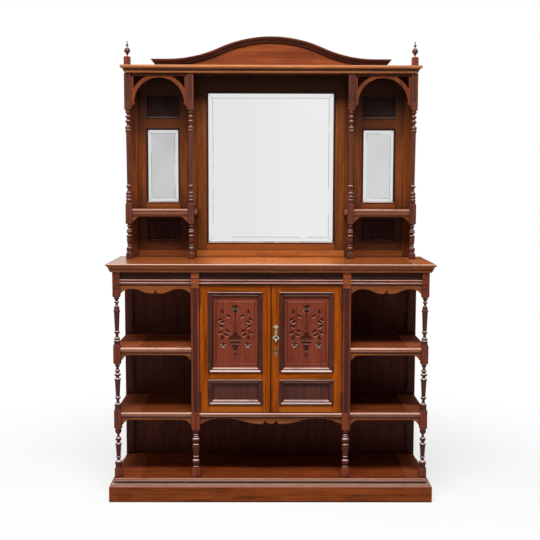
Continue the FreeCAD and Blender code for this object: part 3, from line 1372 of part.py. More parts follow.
def crest():
    half = dim.crest_half_length - dim.crest_return
    outline = [(-half, cornice_top), (-half, crest_low)] + serpentine()
    outline += [(half, crest_low), (half, cornice_top)]
    board = shaped_board("crest_board", [outline], crest_front + dim.crest_board_thick, dim.crest_board_thick)
    node(board, "crest_board")
    points = [FreeCAD.Vector(corner[0].value, crest_front.value, corner[1].value) for corner in serpentine()]
    reach = dim.crest_half_length.value
    ends = [FreeCAD.Vector(side * reach, crest_front.value, crest_low.value) for side in (-1, 1)]
    edges = [Part.LineSegment(ends[0], points[0]).toShape()]
    for start, end, corner in zip(points, points[1:], serpentine()):
        flat_start = FreeCAD.Vector(start.x, start.z, 0)
        flat_end = FreeCAD.Vector(end.x, end.z, 0)
        flat = arc_middle(flat_start, flat_end, corner[2])
        edges.append(Part.Arc(start, FreeCAD.Vector(flat.x, crest_front.value, flat.y), end).toShape())
    edges.append(Part.LineSegment(points[-1], ends[1]).toShape())
    path = Part.Wire(edges)
    project = dim.crest_moulding_project.value
    height = dim.crest_moulding_height.value
    section = [ends[0] + FreeCAD.Vector(0, -project * out, -height * down) for out, down in crest_shares]
    profile = Part.makePolygon(section + section[:1])
    bar = path.makePipeShell([profile], True, False)
    slant = dim.crest_return.value
    for side, end in zip((-1, 1), ends):
        tip = [end + FreeCAD.Vector(side * across, 0, -down) for across, down in
               ((0, 0), (-slant, height), (slant, height), (slant, 0))]
        wedge = Part.Face(Part.makePolygon(tip + tip[:1])).extrude(FreeCAD.Vector(0, -project, 0))
        bar = bar.cut(wedge)
    node(feature("crest_moulding", bar), "crest_moulding")


def finials():
    square = dim.finial_square.value
    low = cornice_top.value
    block_top = low + dim.finial_block.value
    length = dim.finial_height.value - dim.finial_block.value
    half = square / 2
    wide = half * block_radius_share
    stations = [(wide, low, 0), (wide, block_top - half * half_share, half_share * half_share)]
    for share, wide_share, bow in finial_shares:
        stations.append((half * wide_share, block_top + length * share, bow))
    sticks = [turned_stick(f"finial_{number}", square, stations, (place, column_face + column_half), [])
              for number, place in enumerate((-outer_column, outer_column))]
    node(group("finials", sticks), "finials")


makers = [plinth, base_board, front_posts, cupboard_posts, rear_posts, lower_back_boards, side_shelves,
          frieze_rails, scrolled_aprons, counter_top, cupboard, doors, hinges, drop_handle,
          escutcheon_and_lock, left_door_bolt, gallery_frames, gallery_slips, mirrors, columns, arches,
          bracket_shelves, cornice, crest, finials]
for maker in makers:
    maker()
doc.recompute()

# Every object must have come out well before anything is written
failed = [thing.Label for thing in doc.Objects if "Invalid" in thing.State or "Error" in thing.State]
if failed:
    raise RuntimeError("failed objects: " + ", ".join(failed))
for thing in nodes:
    if thing.Shape.isNull() or not thing.Shape.isValid() or not thing.Shape.Solids:
        raise RuntimeError("bad shape: " + thing.Label)

os.makedirs("parts", exist_ok=True)
for thing in nodes:
    thing.Shape.exportStep(f"parts/{thing.Label}.step")
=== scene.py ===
import json
import math

import bmesh
import bpy
import numpy as np
from mathutils import Matrix, Vector

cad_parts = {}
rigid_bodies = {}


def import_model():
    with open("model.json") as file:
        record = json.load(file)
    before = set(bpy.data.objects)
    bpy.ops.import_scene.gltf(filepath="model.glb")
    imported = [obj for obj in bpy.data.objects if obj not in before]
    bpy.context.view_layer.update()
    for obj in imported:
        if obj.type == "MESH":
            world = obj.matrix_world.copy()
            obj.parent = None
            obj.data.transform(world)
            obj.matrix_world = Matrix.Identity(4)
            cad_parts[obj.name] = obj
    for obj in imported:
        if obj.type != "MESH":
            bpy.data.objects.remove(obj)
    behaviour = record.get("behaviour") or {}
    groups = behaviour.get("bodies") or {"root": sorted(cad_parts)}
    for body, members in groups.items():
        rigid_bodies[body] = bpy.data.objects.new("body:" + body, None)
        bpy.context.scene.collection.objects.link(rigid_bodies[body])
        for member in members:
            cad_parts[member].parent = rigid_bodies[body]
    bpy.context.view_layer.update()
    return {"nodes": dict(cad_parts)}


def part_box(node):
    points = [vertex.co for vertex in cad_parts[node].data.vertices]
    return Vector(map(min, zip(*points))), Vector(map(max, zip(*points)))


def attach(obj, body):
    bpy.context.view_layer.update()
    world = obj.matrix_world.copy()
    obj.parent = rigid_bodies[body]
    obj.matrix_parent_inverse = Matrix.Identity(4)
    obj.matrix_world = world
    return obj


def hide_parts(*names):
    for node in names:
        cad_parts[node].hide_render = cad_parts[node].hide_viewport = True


# Victorian mirror-back chiffonier: polished walnut, bevelled mirrors and old brass.
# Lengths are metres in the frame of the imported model: +Z up, front towards -Y.

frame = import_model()
nodes = frame["nodes"]

MM = 0.001


# Node trees

def put(tree, kind, settings=None, **inputs):
    """A shader node with its settings, and its sockets linked or set by name."""
    node = tree.nodes.new(kind)
    for name, value in (settings or {}).items():
        setattr(node, name, value)
    for name, value in inputs.items():
        feed(tree, node.inputs[name.replace("_", " ")], value)
    return node


def feed(tree, socket, value):
    """Link a socket to another one, or set it to a plain value."""
    if isinstance(value, bpy.types.NodeSocket):
        tree.links.new(value, socket)
    else:
        socket.default_value = value


def sums(tree, operation, *values):
    """The result of one math node."""
    node = put(tree, "ShaderNodeMath", {"operation": operation})
    for socket, value in zip(node.inputs, values):
        feed(tree, socket, value)
    return node.outputs[0]


def product(tree, first, *others):
    """Values multiplied together."""
    for other in others:
        first = sums(tree, "MULTIPLY", first, other)
    return first


def mixed(tree, factor, first, second, blend="MIX"):
    """Two colours mixed by a factor."""
    node = put(tree, "ShaderNodeMix", {"data_type": "RGBA", "blend_type": blend})
    feed(tree, node.inputs[0], factor)
    feed(tree, node.inputs[6], first)
    feed(tree, node.inputs[7], second)
    return node.outputs[2]


def spread(tree, value, low, high, start=0.0, end=1.0):
    """A value taken from one range to another, with soft ends."""
    node = put(tree, "ShaderNodeMapRange", {"interpolation_type": "SMOOTHSTEP"})
    for socket, amount in zip(node.inputs, (value, low, high, start, end)):
        feed(tree, socket, amount)
    return node.outputs[0]


def cloud(tree, place, scale, detail=3.0, roughness=0.55, distortion=0.0):
    """A noise value from 0 to 1."""
    node = put(tree, "ShaderNodeTexNoise", Vector=place, Scale=scale, Detail=detail, Roughness=roughness,
               Distortion=distortion)
    return node.outputs["Fac"]


def object_place(tree):
    """Where a point lies on its piece, in the model's frame."""
    return put(tree, "ShaderNodeTexCoord").outputs["Object"]


def axes(tree, vector):
    """The X, Y and Z of a vector."""
    return put(tree, "ShaderNodeSeparateXYZ", Vector=vector).outputs


def piece_facing(tree):
    """Which way a point faces in the model's frame, which stays with its piece when a joint moves."""
    return axes(tree, put(tree, "ShaderNodeTexCoord").outputs["Normal"])


def new_group(name, inputs, outputs):
    """An empty node group with its sockets; returns the tree, the inputs by name and the output sockets."""
    tree = bpy.data.node_groups.new(name, "ShaderNodeTree")
    for socket_name, kind, default in inputs:
        socket = tree.interface.new_socket(socket_name, in_out="INPUT", socket_type=kind)
        socket.default_value = default
    for socket_name, kind in outputs:
        tree.interface.new_socket(socket_name, in_out="OUTPUT", socket_type=kind)
    entry = tree.nodes.new("NodeGroupInput")
    leave = tree.nodes.new("NodeGroupOutput")
    return tree, entry.outputs, leave.inputs


def use(tree, group, **inputs):
    """One node group placed in a material."""
    node = tree.nodes.new("ShaderNodeGroup")
    node.node_tree = group
    for name, value in inputs.items():
        feed(tree, node.inputs[name.replace("_", " ")], value)
    return node.outputs


FLOAT, COLOR, VECTOR = "NodeSocketFloat", "NodeSocketColor", "NodeSocketVector"


def srgb(red, green, blue):
    """A colour from screen values 0 to 255."""
    def linear(value):
        share = value / 255
        return share / 12.92 if share <= 0.04045 else ((share + 0.055) / 1.055) ** 2.4
    return (linear(red), linear(green), linear(blue), 1)


# Colour of darkened corners and joints: old dirt and painted shade
WOOD_DIRT_AND_SHADE = srgb(20, 9, 6)


def wood_figure_group():
    """Grain of a board: broad figure, streaks and open pores along X, or along Z where it stands upright."""
    tree, given, out = new_group("wood_figure", [
        ("Place", VECTOR, (0, 0, 0)), ("Upright", FLOAT, 0.0), ("Light", COLOR, (0.4, 0.2, 0.1, 1)),
        ("Dark", COLOR, (0.1, 0.04, 0.02, 1)), ("Contrast", FLOAT, 1.0)], [("Color", COLOR), ("Height", FLOAT)])
    parts = axes(tree, given["Place"])
    upright = given["Upright"]
    lying = sums(tree, "SUBTRACT", 1.0, upright)
    along = sums(tree, "ADD", product(tree, parts[0], lying), product(tree, parts[2], upright))
    across = sums(tree, "ADD", product(tree, parts[2], lying), product(tree, parts[0], upright))

    def stretched(length, width):
        return put(tree, "ShaderNodeCombineXYZ", X=product(tree, along, length), Y=product(tree, across, width),
                   Z=product(tree, parts[1], width)).outputs[0]

    broad = cloud(tree, stretched(2.0, 32.0), 1.0, 3.0, 0.55, 0.8)
    streak = cloud(tree, stretched(5.0, 190.0), 1.0, 3.0, 0.6, 0.25)
    mottle = cloud(tree, stretched(16.0, 52.0), 1.0, 3.0, 0.6, 0.5)
    pores = cloud(tree, stretched(40.0, 1100.0), 1.0, 2.0, 0.5)
    figure = sums(tree, "ADD", product(tree, broad, 0.45), product(tree, streak, 0.33))
    figure = sums(tree, "ADD", figure, product(tree, mottle, 0.22))
    centred = product(tree, sums(tree, "SUBTRACT", figure, 0.5), given["Contrast"])
    shade = spread(tree, sums(tree, "ADD", centred, 0.5), 0.32, 0.68)
    fleck = spread(tree, pores, 0.62, 0.76)
    wood = mixed(tree, shade, given["Dark"], given["Light"])
    feed(tree, out["Color"], mixed(tree, product(tree, fleck, 0.5), wood, given["Dark"]))
    feed(tree, out["Height"], sums(tree, "SUBTRACT", product(tree, streak, 0.5), fleck))
    return tree


def corner_dirt_shade_group():
    """Darkening of inner corners and the joints between boards by how closed in they are: partly old polish and dirt,
    partly painted shade.
    """
    tree, given, out = new_group("corner_dirt_and_shade", [
        ("Color", COLOR, (0.3, 0.15, 0.1, 1)), ("Grime", COLOR, (0.02, 0.01, 0.006, 1)), ("Reach", FLOAT, 0.02),
        ("Amount", FLOAT, 0.7)], [("Color", COLOR)])
    hidden = put(tree, "ShaderNodeAmbientOcclusion", {"samples": 8, "only_local": False}, Distance=given["Reach"])
    closed = spread(tree, hidden.outputs["AO"], 0.30, 0.95, 1.0, 0.0)
    feed(tree, out["Color"], mixed(tree, product(tree, closed, given["Amount"]), given["Color"], given["Grime"]))
    return tree


def rubbed_edge_group():
    """Edges where hands and cloths have worn the polish to a lighter colour."""
    tree, given, out = new_group("rubbed_edges", [
        ("Place", VECTOR, (0, 0, 0)), ("Color", COLOR, (0.3, 0.15, 0.1, 1)), ("Rubbed", COLOR, (0.5, 0.3, 0.2, 1)),
        ("Radius", FLOAT, 0.002), ("Amount", FLOAT, 0.5)], [("Color", COLOR), ("Normal", VECTOR)])
    rounded = put(tree, "ShaderNodeBevel", {"samples": 4}, Radius=given["Radius"])
    flat = put(tree, "ShaderNodeNewGeometry").outputs["Normal"]
    agree = put(tree, "ShaderNodeVectorMath", {"operation": "DOT_PRODUCT"})
    feed(tree, agree.inputs[0], rounded.outputs[0])
    feed(tree, agree.inputs[1], flat)
    edge = spread(tree, agree.outputs["Value"], 0.80, 0.985, 1.0, 0.0)
    patchy = spread(tree, cloud(tree, given["Place"], 24.0, 4.0, 0.6), 0.35, 0.62)
    mask = product(tree, edge, patchy, given["Amount"])
    feed(tree, out["Color"], mixed(tree, mask, given["Color"], given["Rubbed"]))
    feed(tree, out["Normal"], rounded.outputs[0])
    return tree


def polish_group():
    """Unevenness of a hand-rubbed polish."""
    tree, given, out = new_group("polish_marks", [
        ("Place", VECTOR, (0, 0, 0)), ("Base", FLOAT, 0.35), ("Swing", FLOAT, 0.12)], [("Roughness", FLOAT)])
    marks = cloud(tree, given["Place"], 9.0, 4.0, 0.6, 0.4)
    swing = product(tree, sums(tree, "SUBTRACT", marks, 0.5), given["Swing"])
    feed(tree, out["Roughness"], sums(tree, "ADD", given["Base"], swing))
    return tree


def inside_group():
    """A mask for a box and its mirror image across the middle of the piece, with edges 1 mm soft."""
    tree, given, out = new_group("inside_box", [
        ("Place", VECTOR, (0, 0, 0)), ("Low", VECTOR, (0, 0, 0)), ("High", VECTOR, (1, 1, 1))], [("Mask", FLOAT)])
    place = axes(tree, given["Place"])
    low = axes(tree, given["Low"])
    high = axes(tree, given["High"])
    inside = []
    for axis in range(3):
        value = sums(tree, "ABSOLUTE", place[axis]) if axis == 0 else place[axis]
        over = product(tree, sums(tree, "SUBTRACT", value, low[axis]), 1 / MM)
        under = product(tree, sums(tree, "SUBTRACT", high[axis], value), 1 / MM)
        inside.append(put(tree, "ShaderNodeClamp", Value=sums(tree, "MINIMUM", over, under)).outputs[0])
    feed(tree, out["Mask"], product(tree, *inside))
    return tree


def slope_highlight_group():
    """Painted highlights on the upward fronts of mouldings and nosings, in patches, where light from above catches
    them.
    """
    tree, given, out = new_group("painted_slope_highlights", [
        ("Place", VECTOR, (0, 0, 0)), ("Color", COLOR, (0.3, 0.15, 0.1, 1)), ("Worn", COLOR, (0.6, 0.4, 0.3, 1)),
        ("Amount", FLOAT, 0.5), ("Start", FLOAT, 0.28)], [("Color", COLOR)])
    facing = piece_facing(tree)
    upward = spread(tree, facing[2], given["Start"], sums(tree, "ADD", given["Start"], 0.34))
    forward = spread(tree, facing[1], -0.50, -0.16, 1.0, 0.0)
    patchy = spread(tree, cloud(tree, given["Place"], 13.0, 3.0, 0.6), 0.30, 0.60, 0.6, 1.0)
    mask = product(tree, upward, forward, patchy, given["Amount"])
    feed(tree, out["Color"], mixed(tree, mask, given["Color"], given["Worn"]))
    return tree


def cornice_shade_group():
    """Painted shade on the wood high under the cornice, going darker upwards and in the hollows."""
    tree, given, out = new_group("painted_cornice_shade", [
        ("Place", VECTOR, (0, 0, 0)), ("Color", COLOR, (0.3, 0.15, 0.1, 1)), ("Low", FLOAT, 1.4),
        ("High", FLOAT, 1.8), ("Amount", FLOAT, 0.82)], [("Color", COLOR)])
    height = axes(tree, given["Place"])[2]
    rise = spread(tree, height, given["Low"], given["High"])
    hidden = put(tree, "ShaderNodeAmbientOcclusion", {"samples": 8, "only_local": False}, Distance=140 * MM)
    hollow = spread(tree, hidden.outputs["AO"], 0.40, 0.80, 0.6, 0.0)
    mask = product(tree, sums(tree, "MAXIMUM", rise, hollow), given["Amount"])
    feed(tree, out["Color"], mixed(tree, mask, given["Color"], srgb(24, 14, 12)))
    return tree


def bare_back_group():
    """Plainer wood on the faces turned to the wall or to the cupboard's inside."""
    tree, given, out = new_group("bare_back", [
        ("Color", COLOR, (0.3, 0.15, 0.1, 1)), ("Bare", COLOR, (0.4, 0.25, 0.15, 1))], [("Color", COLOR)])
    backward = spread(tree, piece_facing(tree)[1], 0.6, 0.9)
    feed(tree, out["Color"], mixed(tree, backward, given["Color"], given["Bare"]))
    return tree


def dull_end_group():
    """An end of a board that has lost its polish, as the roughness before and after a stretch along X."""
    tree, given, out = new_group("dull_end", [
        ("Place", VECTOR, (0, 0, 0)), ("Polish", FLOAT, 0.3), ("Start", FLOAT, 0.5), ("End", FLOAT, 0.6),
        ("Before", FLOAT, 0.0), ("After", FLOAT, 0.85)], [("Roughness", FLOAT)])
    dull = spread(tree, axes(tree, given["Place"])[0], given["Start"], given["End"], given["Before"], given["After"])
    feed(tree, out["Roughness"], sums(tree, "MAXIMUM", given["Polish"], dull))
    return tree


def cut_shade_group():
    """The shade of carving, darker with its depth behind the face of the board."""
    tree, given, out = new_group("cut_shade", [
        ("Place", VECTOR, (0, 0, 0)), ("Color", COLOR, (0.3, 0.15, 0.1, 1)), ("Shade", COLOR, (0.02, 0.01, 0.01, 1)),
        ("Face", FLOAT, 0.0), ("Deep", FLOAT, 0.003)], [("Color", COLOR)])
    face = given["Face"]
    cut = spread(tree, axes(tree, given["Place"])[1], sums(tree, "ADD", face, 0.3 * MM),
                 sums(tree, "ADD", face, given["Deep"]))
    feed(tree, out["Color"], mixed(tree, product(tree, cut, 0.85), given["Color"], given["Shade"]))
    return tree


def bevel_mitre_group():
    """A mask of the thin painted reflection lines from a mirror's corners to the corners of its flat, the same on both
    halves.
    """
    tree, given, out = new_group("bevel_mitres", [
        ("Place", VECTOR, (0, 0, 0)), ("Low", VECTOR, (0, 0, 0)), ("High", VECTOR, (1, 1, 1)), ("Bevel", FLOAT, 0.02)],
        [("Mask", FLOAT)])
    place, low, high = (axes(tree, given[name]) for name in ("Place", "Low", "High"))

    def from_edges(value, axis):
        return sums(tree, "MINIMUM", sums(tree, "SUBTRACT", value, low[axis]),
                    sums(tree, "SUBTRACT", high[axis], value))

    from_side = from_edges(sums(tree, "ABSOLUTE", place[0]), 0)
    from_end = from_edges(place[2], 2)
    apart = sums(tree, "ABSOLUTE", sums(tree, "SUBTRACT", from_side, from_end))
    line = spread(tree, apart, 1.2 * MM, 2.4 * MM, 0.55, 0.0)
    outside_flat = spread(tree, from_side, sums(tree, "SUBTRACT", given["Bevel"], 1 * MM), given["Bevel"], 1.0, 0.0)
    feed(tree, out["Mask"], product(tree, line, outside_flat))
    return tree


def silver_and_reflection_group():
    """Silvering of two greys that meet in the middle, their difference a painted reflection, with a thin veil, a grey
    painted on the bevel, and a bevel that hardly tilts the reflections. Mitres and Line are the masks of its painted
    dark reflection lines, and the second is broken in places."""
    tree, given, out = new_group("silver_and_painted_reflections", [
        ("Place", VECTOR, (0, 0, 0)), ("Left", COLOR, (0.8, 0.8, 0.8, 1)), ("Right", COLOR, (0.8, 0.8, 0.8, 1)),
        ("Mitres", FLOAT, 0.0), ("Line", FLOAT, 0.0)], [("Color", COLOR), ("Normal", VECTOR)])
    place = given["Place"]
    normal = put(tree, "ShaderNodeNewGeometry").outputs["Normal"]
    tilted = spread(tree, axes(tree, normal)[1], -0.9995, -0.9975)
    silver = mixed(tree, spread(tree, axes(tree, place)[0], -0.2, 0.2), given["Left"], given["Right"])
    veil = spread(tree, cloud(tree, place, 2.4, 2.0, 0.5), 0.3, 0.7, 0.0, 0.35)
    silver = mixed(tree, veil, silver, (0.80, 0.81, 0.82, 1))
    silver = mixed(tree, product(tree, tilted, 0.6), silver, (0.78, 0.785, 0.785, 1))
    silver = mixed(tree, given["Mitres"], silver, srgb(96, 94, 92))
    broken = spread(tree, cloud(tree, place, 9.0, 2.0, 0.5), 0.42, 0.52)
    feed(tree, out["Color"], mixed(tree, product(tree, given["Line"], broken), silver, srgb(70, 66, 62)))
    flattened, front = 0.8, (0, -1, 0)
    turned = put(tree, "ShaderNodeMix", {"data_type": "VECTOR"})
    feed(tree, turned.inputs[0], flattened)
    feed(tree, turned.inputs[4], normal)
    feed(tree, turned.inputs[5], front)
    unit = put(tree, "ShaderNodeVectorMath", {"operation": "NORMALIZE"})
    feed(tree, unit.inputs[0], turned.outputs[1])
    feed(tree, out["Normal"], unit.outputs[0])
    return tree


def tarnish_group():
    """Brass that has gone dull in blotches."""
    tree, given, out = new_group("brass_tarnish", [
        ("Place", VECTOR, (0, 0, 0)), ("Bright", COLOR, (0.7, 0.6, 0.4, 1)), ("Dull", COLOR, (0.1, 0.07, 0.03, 1))],
        [("Color", COLOR)])
    blotches = spread(tree, cloud(tree, given["Place"], 160.0, 4.0, 0.6), 0.35, 0.65)
    feed(tree, out["Color"], mixed(tree, blotches, given["Dull"], given["Bright"]))
    return tree


wood_figure = wood_figure_group()
corner_dirt_and_shade = corner_dirt_shade_group()
rubbed_edges = rubbed_edge_group()
polish_marks = polish_group()
inside_box = inside_group()
painted_slope_highlights = slope_highlight_group()
painted_cornice_shade = cornice_shade_group()
bare_back = bare_back_group()
dull_end = dull_end_group()
cut_shade = cut_shade_group()
bevel_mitres = bevel_mitre_group()
silver_and_painted_reflections = silver_and_reflection_group()
brass_tarnish = tarnish_group()


def blank_material(name):
    """A new material with its tree emptied down to a shader and an output."""
    material = bpy.data.materials.new(name)
    material.use_nodes = True
    tree = material.node_tree
    tree.nodes.clear()
    shader = put(tree, "ShaderNodeBsdfPrincipled")
    put(tree, "ShaderNodeOutputMaterial", Surface=shader.outputs[0])
    return material, tree, shader.inputs


def box_masks(tree, place, boxes):
    """One mask for several boxes given in millimetres as (low, high)."""
    whole = None
    for low, high in boxes:
        mask = use(tree, inside_box, Place=place, Low=[value * MM for value in low],
                   High=[value * MM for value in high])["Mask"]
        whole = mask if whole is None else sums(tree, "MAXIMUM", whole, mask)
    return whole


def grained(tree, place, upright, tone):
    """A plain colour as it is, or the grain between a (light, dark) pair."""
    if len(tone) > 2:
        return tone
    return use(tree, wood_figure, Place=place, Upright=upright, Light=tone[0], Dark=tone[1])["Color"]


def toned(tree, place, color, bands, upright=0.0):
    """A colour with other tones laid over it, each given as (boxes, tone) or (boxes, tone, share)."""
    for boxes, tone, *share in bands:
        mask = product(tree, box_masks(tree, place, boxes), share[0] if share else 0.85)
        color = mixed(tree, mask, color, grained(tree, place, upright, tone))
    return color


def polished_wood(name, light, dark, upright=1.0, crossing=(), bands=(), rubbed=None, roughness=0.32, specular=0.25,
                  contrast=1.0, dirt_and_shade=0.8, reach=12 * MM, rub=0.5, slope_highlight=None, slope_highlight_amount=0.8, slope_highlight_start=0.28,
                  cornice_shade=None, lit_middle=None, laid=(), bare=None, dulled=()):
    """A polished board, its grain upright (1) or lying (0) and crossing over in some boxes. Lengths are millimetres.

    bands: parts in another tone, under the edge wear and painted highlights; laid: tones over them; both also paint
    shade and highlights
    slope_highlight: the colour of the painted highlight on its upward fronts
    cornice_shade: the heights (low, high) between which painted shade darkens it upwards
    lit_middle: (inner, outer, boxes, tone) of a middle painted lighter, where the mirror throws light down on it
    bare: the (light, dark) of a plainer back
    dulled: ends that have lost their polish, each (start, end, roughness before, roughness after) along X
    """
    material, tree, shader = blank_material(name)
    place = object_place(tree)
    if crossing:
        turned = box_masks(tree, place, crossing)
        upright = turned if upright == 0.0 else sums(tree, "SUBTRACT", 1.0, turned)
    figure = use(tree, wood_figure, Place=place, Upright=upright, Light=light, Dark=dark, Contrast=contrast)
    color = toned(tree, place, figure["Color"], bands)
    # Painted light: a lighter middle where the mirror throws light down on the counter
    if lit_middle:
        inner, outer, boxes, tone = lit_middle
        away = sums(tree, "ABSOLUTE", axes(tree, place)[0])
        near = spread(tree, away, inner * MM, outer * MM, 0.85, 0.0)
        color = mixed(tree, product(tree, near, box_masks(tree, place, boxes)), color,
                      grained(tree, place, upright, tone))
    # Inner corners and joints darkened: old dirt and painted shade
    color = use(tree, corner_dirt_and_shade, Color=color, Grime=WOOD_DIRT_AND_SHADE, Reach=reach, Amount=dirt_and_shade)["Color"]
    # Painted shade high under the cornice
    if cornice_shade:
        color = use(tree, painted_cornice_shade, Place=place, Color=color, Low=cornice_shade[0] * MM, High=cornice_shade[1] * MM)["Color"]
    worn = use(tree, rubbed_edges, Place=place, Color=color, Rubbed=rubbed or light, Amount=rub)
    color = worn["Color"]
    # Painted highlights on the upward fronts
    if slope_highlight:
        color = use(tree, painted_slope_highlights, Place=place, Color=color, Worn=slope_highlight, Amount=slope_highlight_amount,
                    Start=slope_highlight_start)["Color"]
    color = toned(tree, place, color, laid)
    if bare:
        color = use(tree, bare_back, Color=color, Bare=grained(tree, place, upright, bare))["Color"]
    feed(tree, shader["Base Color"], color)
    gloss = use(tree, polish_marks, Place=place, Base=roughness)["Roughness"]
    for start, end, before, after in dulled:
        gloss = use(tree, dull_end, Place=place, Polish=gloss, Start=start * MM, End=end * MM, Before=before,
                    After=after)["Roughness"]
    feed(tree, shader["Roughness"], gloss)
    shader["Specular IOR Level"].default_value = specular
    grain = put(tree, "ShaderNodeBump", Strength=0.12, Distance=0.4 * MM, Height=figure["Height"],
                Normal=worn["Normal"])
    feed(tree, shader["Normal"], grain.outputs[0])
    return material


def carved_wood(name, light, dark, face, deep, deep_color, upright=1.0, specular=0.3, cut_highlight=0.0,
                cut_highlight_color=(0.3, 0.24, 0.2, 1), rim_highlights=(), bare=None):
    """Wood with ornament cut behind a face, with painted shade that deepens with the depth of the cuts, and pale
    painted highlights on the upward slopes of the cuts.

    rim_highlights: boxes in millimetres where painted highlights also lie round the rims of the cuts
    bare: the (light, dark) of a plainer back
    """
    material, tree, shader = blank_material(name)
    place = object_place(tree)
    figure = use(tree, wood_figure, Place=place, Upright=upright, Light=light, Dark=dark, Contrast=0.8)
    color = use(tree, cut_shade, Place=place, Color=figure["Color"], Shade=deep_color, Face=face, Deep=deep)["Color"]
    # Inner corners darkened: old dirt and painted shade
    color = use(tree, corner_dirt_and_shade, Color=color, Grime=WOOD_DIRT_AND_SHADE, Reach=8 * MM, Amount=0.8)["Color"]
    depth, rise = axes(tree, place)[1], piece_facing(tree)[2]
    below = spread(tree, depth, face + 0.1 * MM, face + 0.6 * MM)
    # Painted highlights on the upward slopes of the cuts
    if cut_highlight:
        color = mixed(tree, product(tree, spread(tree, rise, 0.30, 0.62), below, cut_highlight), color, cut_highlight_color)
    # Painted highlights round the rims of the cuts
    if rim_highlights:
        near_face = spread(tree, depth, face + 2.0 * MM, face + 3.4 * MM, 0.55, 0.0)
        rim = product(tree, spread(tree, rise, -0.25, 0.25), near_face, below, box_masks(tree, place, rim_highlights))
        color = mixed(tree, rim, color, srgb(206, 190, 178))
    if bare:
        color = use(tree, bare_back, Color=color, Bare=grained(tree, place, upright, bare))["Color"]
    feed(tree, shader["Base Color"], color)
    feed(tree, shader["Roughness"], use(tree, polish_marks, Place=place, Base=0.36)["Roughness"])
    shader["Specular IOR Level"].default_value = specular
    grain = put(tree, "ShaderNodeBump", Strength=0.1, Distance=0.4 * MM, Height=figure["Height"])
    feed(tree, shader["Normal"], grain.outputs[0])
    return material


def old_brass(name, bright, dull, roughness):
    """Brass that has dulled to grey-brown, darker in its hollows from tarnish and painted shade."""
    material, tree, shader = blank_material(name)
    place = object_place(tree)
    metal = use(tree, brass_tarnish, Place=place, Bright=bright, Dull=dull)["Color"]
    # Hollows of the brass darkened: tarnish and painted shade
    patina = use(tree, corner_dirt_and_shade, Color=metal, Grime=srgb(26, 20, 14), Reach=5 * MM, Amount=0.85)
    worn = use(tree, rubbed_edges, Place=place, Color=patina["Color"], Rubbed=bright, Radius=0.5 * MM, Amount=0.8)
    feed(tree, shader["Base Color"], worn["Color"])
    feed(tree, shader["Roughness"], use(tree, polish_marks, Place=place, Base=roughness, Swing=0.2)["Roughness"])
    shader["Metallic"].default_value = 1.0
    return material


def silvered_glass(name, left, right, low, high, bevel):
    """Old mirror glass with a bevel, of two greys left and right of the middle, their difference a painted reflection.
    Lengths are millimetres.
    """
    material, tree, shader = blank_material(name)
    place = object_place(tree)
    mitres = use(tree, bevel_mitres, Place=place, Low=(low[0] * MM, 0, low[1] * MM),
                 High=(high[0] * MM, 0, high[1] * MM), Bevel=bevel * MM)["Mask"]
    silver = use(tree, silver_and_painted_reflections, Place=place, Left=(left, left, left, 1), Right=(right, right, right, 1),
                 Mitres=mitres, Line=box_masks(tree, place, bevel_frame(low, high, bevel)))
    feed(tree, shader["Base Color"], silver["Color"])
    feed(tree, shader["Normal"], silver["Normal"])
    shader["Metallic"].default_value = 1.0
    shader["Roughness"].default_value = 0.02
    return material


def bevel_frame(low, high, bevel, line=2.4):
    """Four thin boxes along the inner edge of a mirror's bevel, in millimetres, where a dark reflection line is
    painted.
    """
    left, right = low[0] + bevel, high[0] - bevel
    bottom, top = low[1] + bevel, high[1] - bevel
    front, back = 170, 190
    edge = line / 2
    return [((left - edge, front, bottom), (left + edge, back, top)),
            ((right - edge, front, bottom), (right + edge, back, top)),
            ((left, front, bottom - edge), (right, back, bottom + edge)),
            ((left, front, top - edge), (right, back, top + edge))]


# Where grain crosses from upright to lying, or a part has another tone, in millimetres for the right half;
# some of the tones are painted shade and painted highlights, as marked
FRAME_RAILS = [((408, 170, 1040), (558, 200, 1820))]
MIRROR_RAILS = [((-1, 170, 1750), (288, 200, 1820)), ((-1, 170, 1040), (288, 200, 1073))]
PILASTER_RECESS = [((308, -181.6, 380), (326, -160, 908))]
PILASTER_LEGS = [((290, -190, 145), (340, -140, 307))]
PILASTER_HEADS = [((290, -190, 912), (340, -140, 980))]
POST_LINES = [((290, -190, 947.6), (670, -140, 951)), ((290, -190, 920.6), (670, -140, 924)),
              ((290, -190, 904.6), (670, -140, 908))]
POST_TURNINGS = [((625, -190, 142), (670, -140, 307)), ((625, -190, 393), (670, -140, 584)),
                 ((625, -190, 670), (670, -140, 866))]
COLUMN_RECESS = [((344, 63.2, 1698), (358, 80, 1806)), ((617, 63.2, 1698), (631, 80, 1806))]
# Painted shade in the cornice's hollow and on its underside
CORNICE_HOLLOW = [((-1, 30, 1826), (700, 200, 1837))]
CORNICE_UNDERSIDE = [((-1, 30, 1815), (700, 200, 1819))]
# Painted shade in the counter's hollow and on its lip below the arris, and a painted highlight on the arris
COUNTER_HOLLOW = [((-1, -203, 986.5), (683, 210, 990.5))]
COUNTER_TOP = [((-1, -199, 1011), (690, 210, 1014))]
COUNTER_ARRIS = [((-1, -210, 1009), (690, -201, 1014))]
COUNTER_LIP = [((-1, -215, 1000), (690, -196, 1009))]
APRON_JOINTS = [((-1, -190, 355.5), (640, -150, 363.5)), ((330, -190, 632), (640, -150, 637.5)),
                ((330, -190, 917.5), (640, -150, 924))]
BRACKET_APRONS = [((350, 60, 1195), (610, 90, 1205))]
# Painted highlight, middle tone and shade, top to bottom, down the bracket shelves' nosing
BRACKET_NOSE = [((300, 50, 1217.5), (650, 100, 1223.5))]
BRACKET_BODY = [((300, 50, 1209.5), (650, 100, 1217.5))]
BRACKET_FOOT = [((300, 50, 1202), (650, 100, 1209.5))]
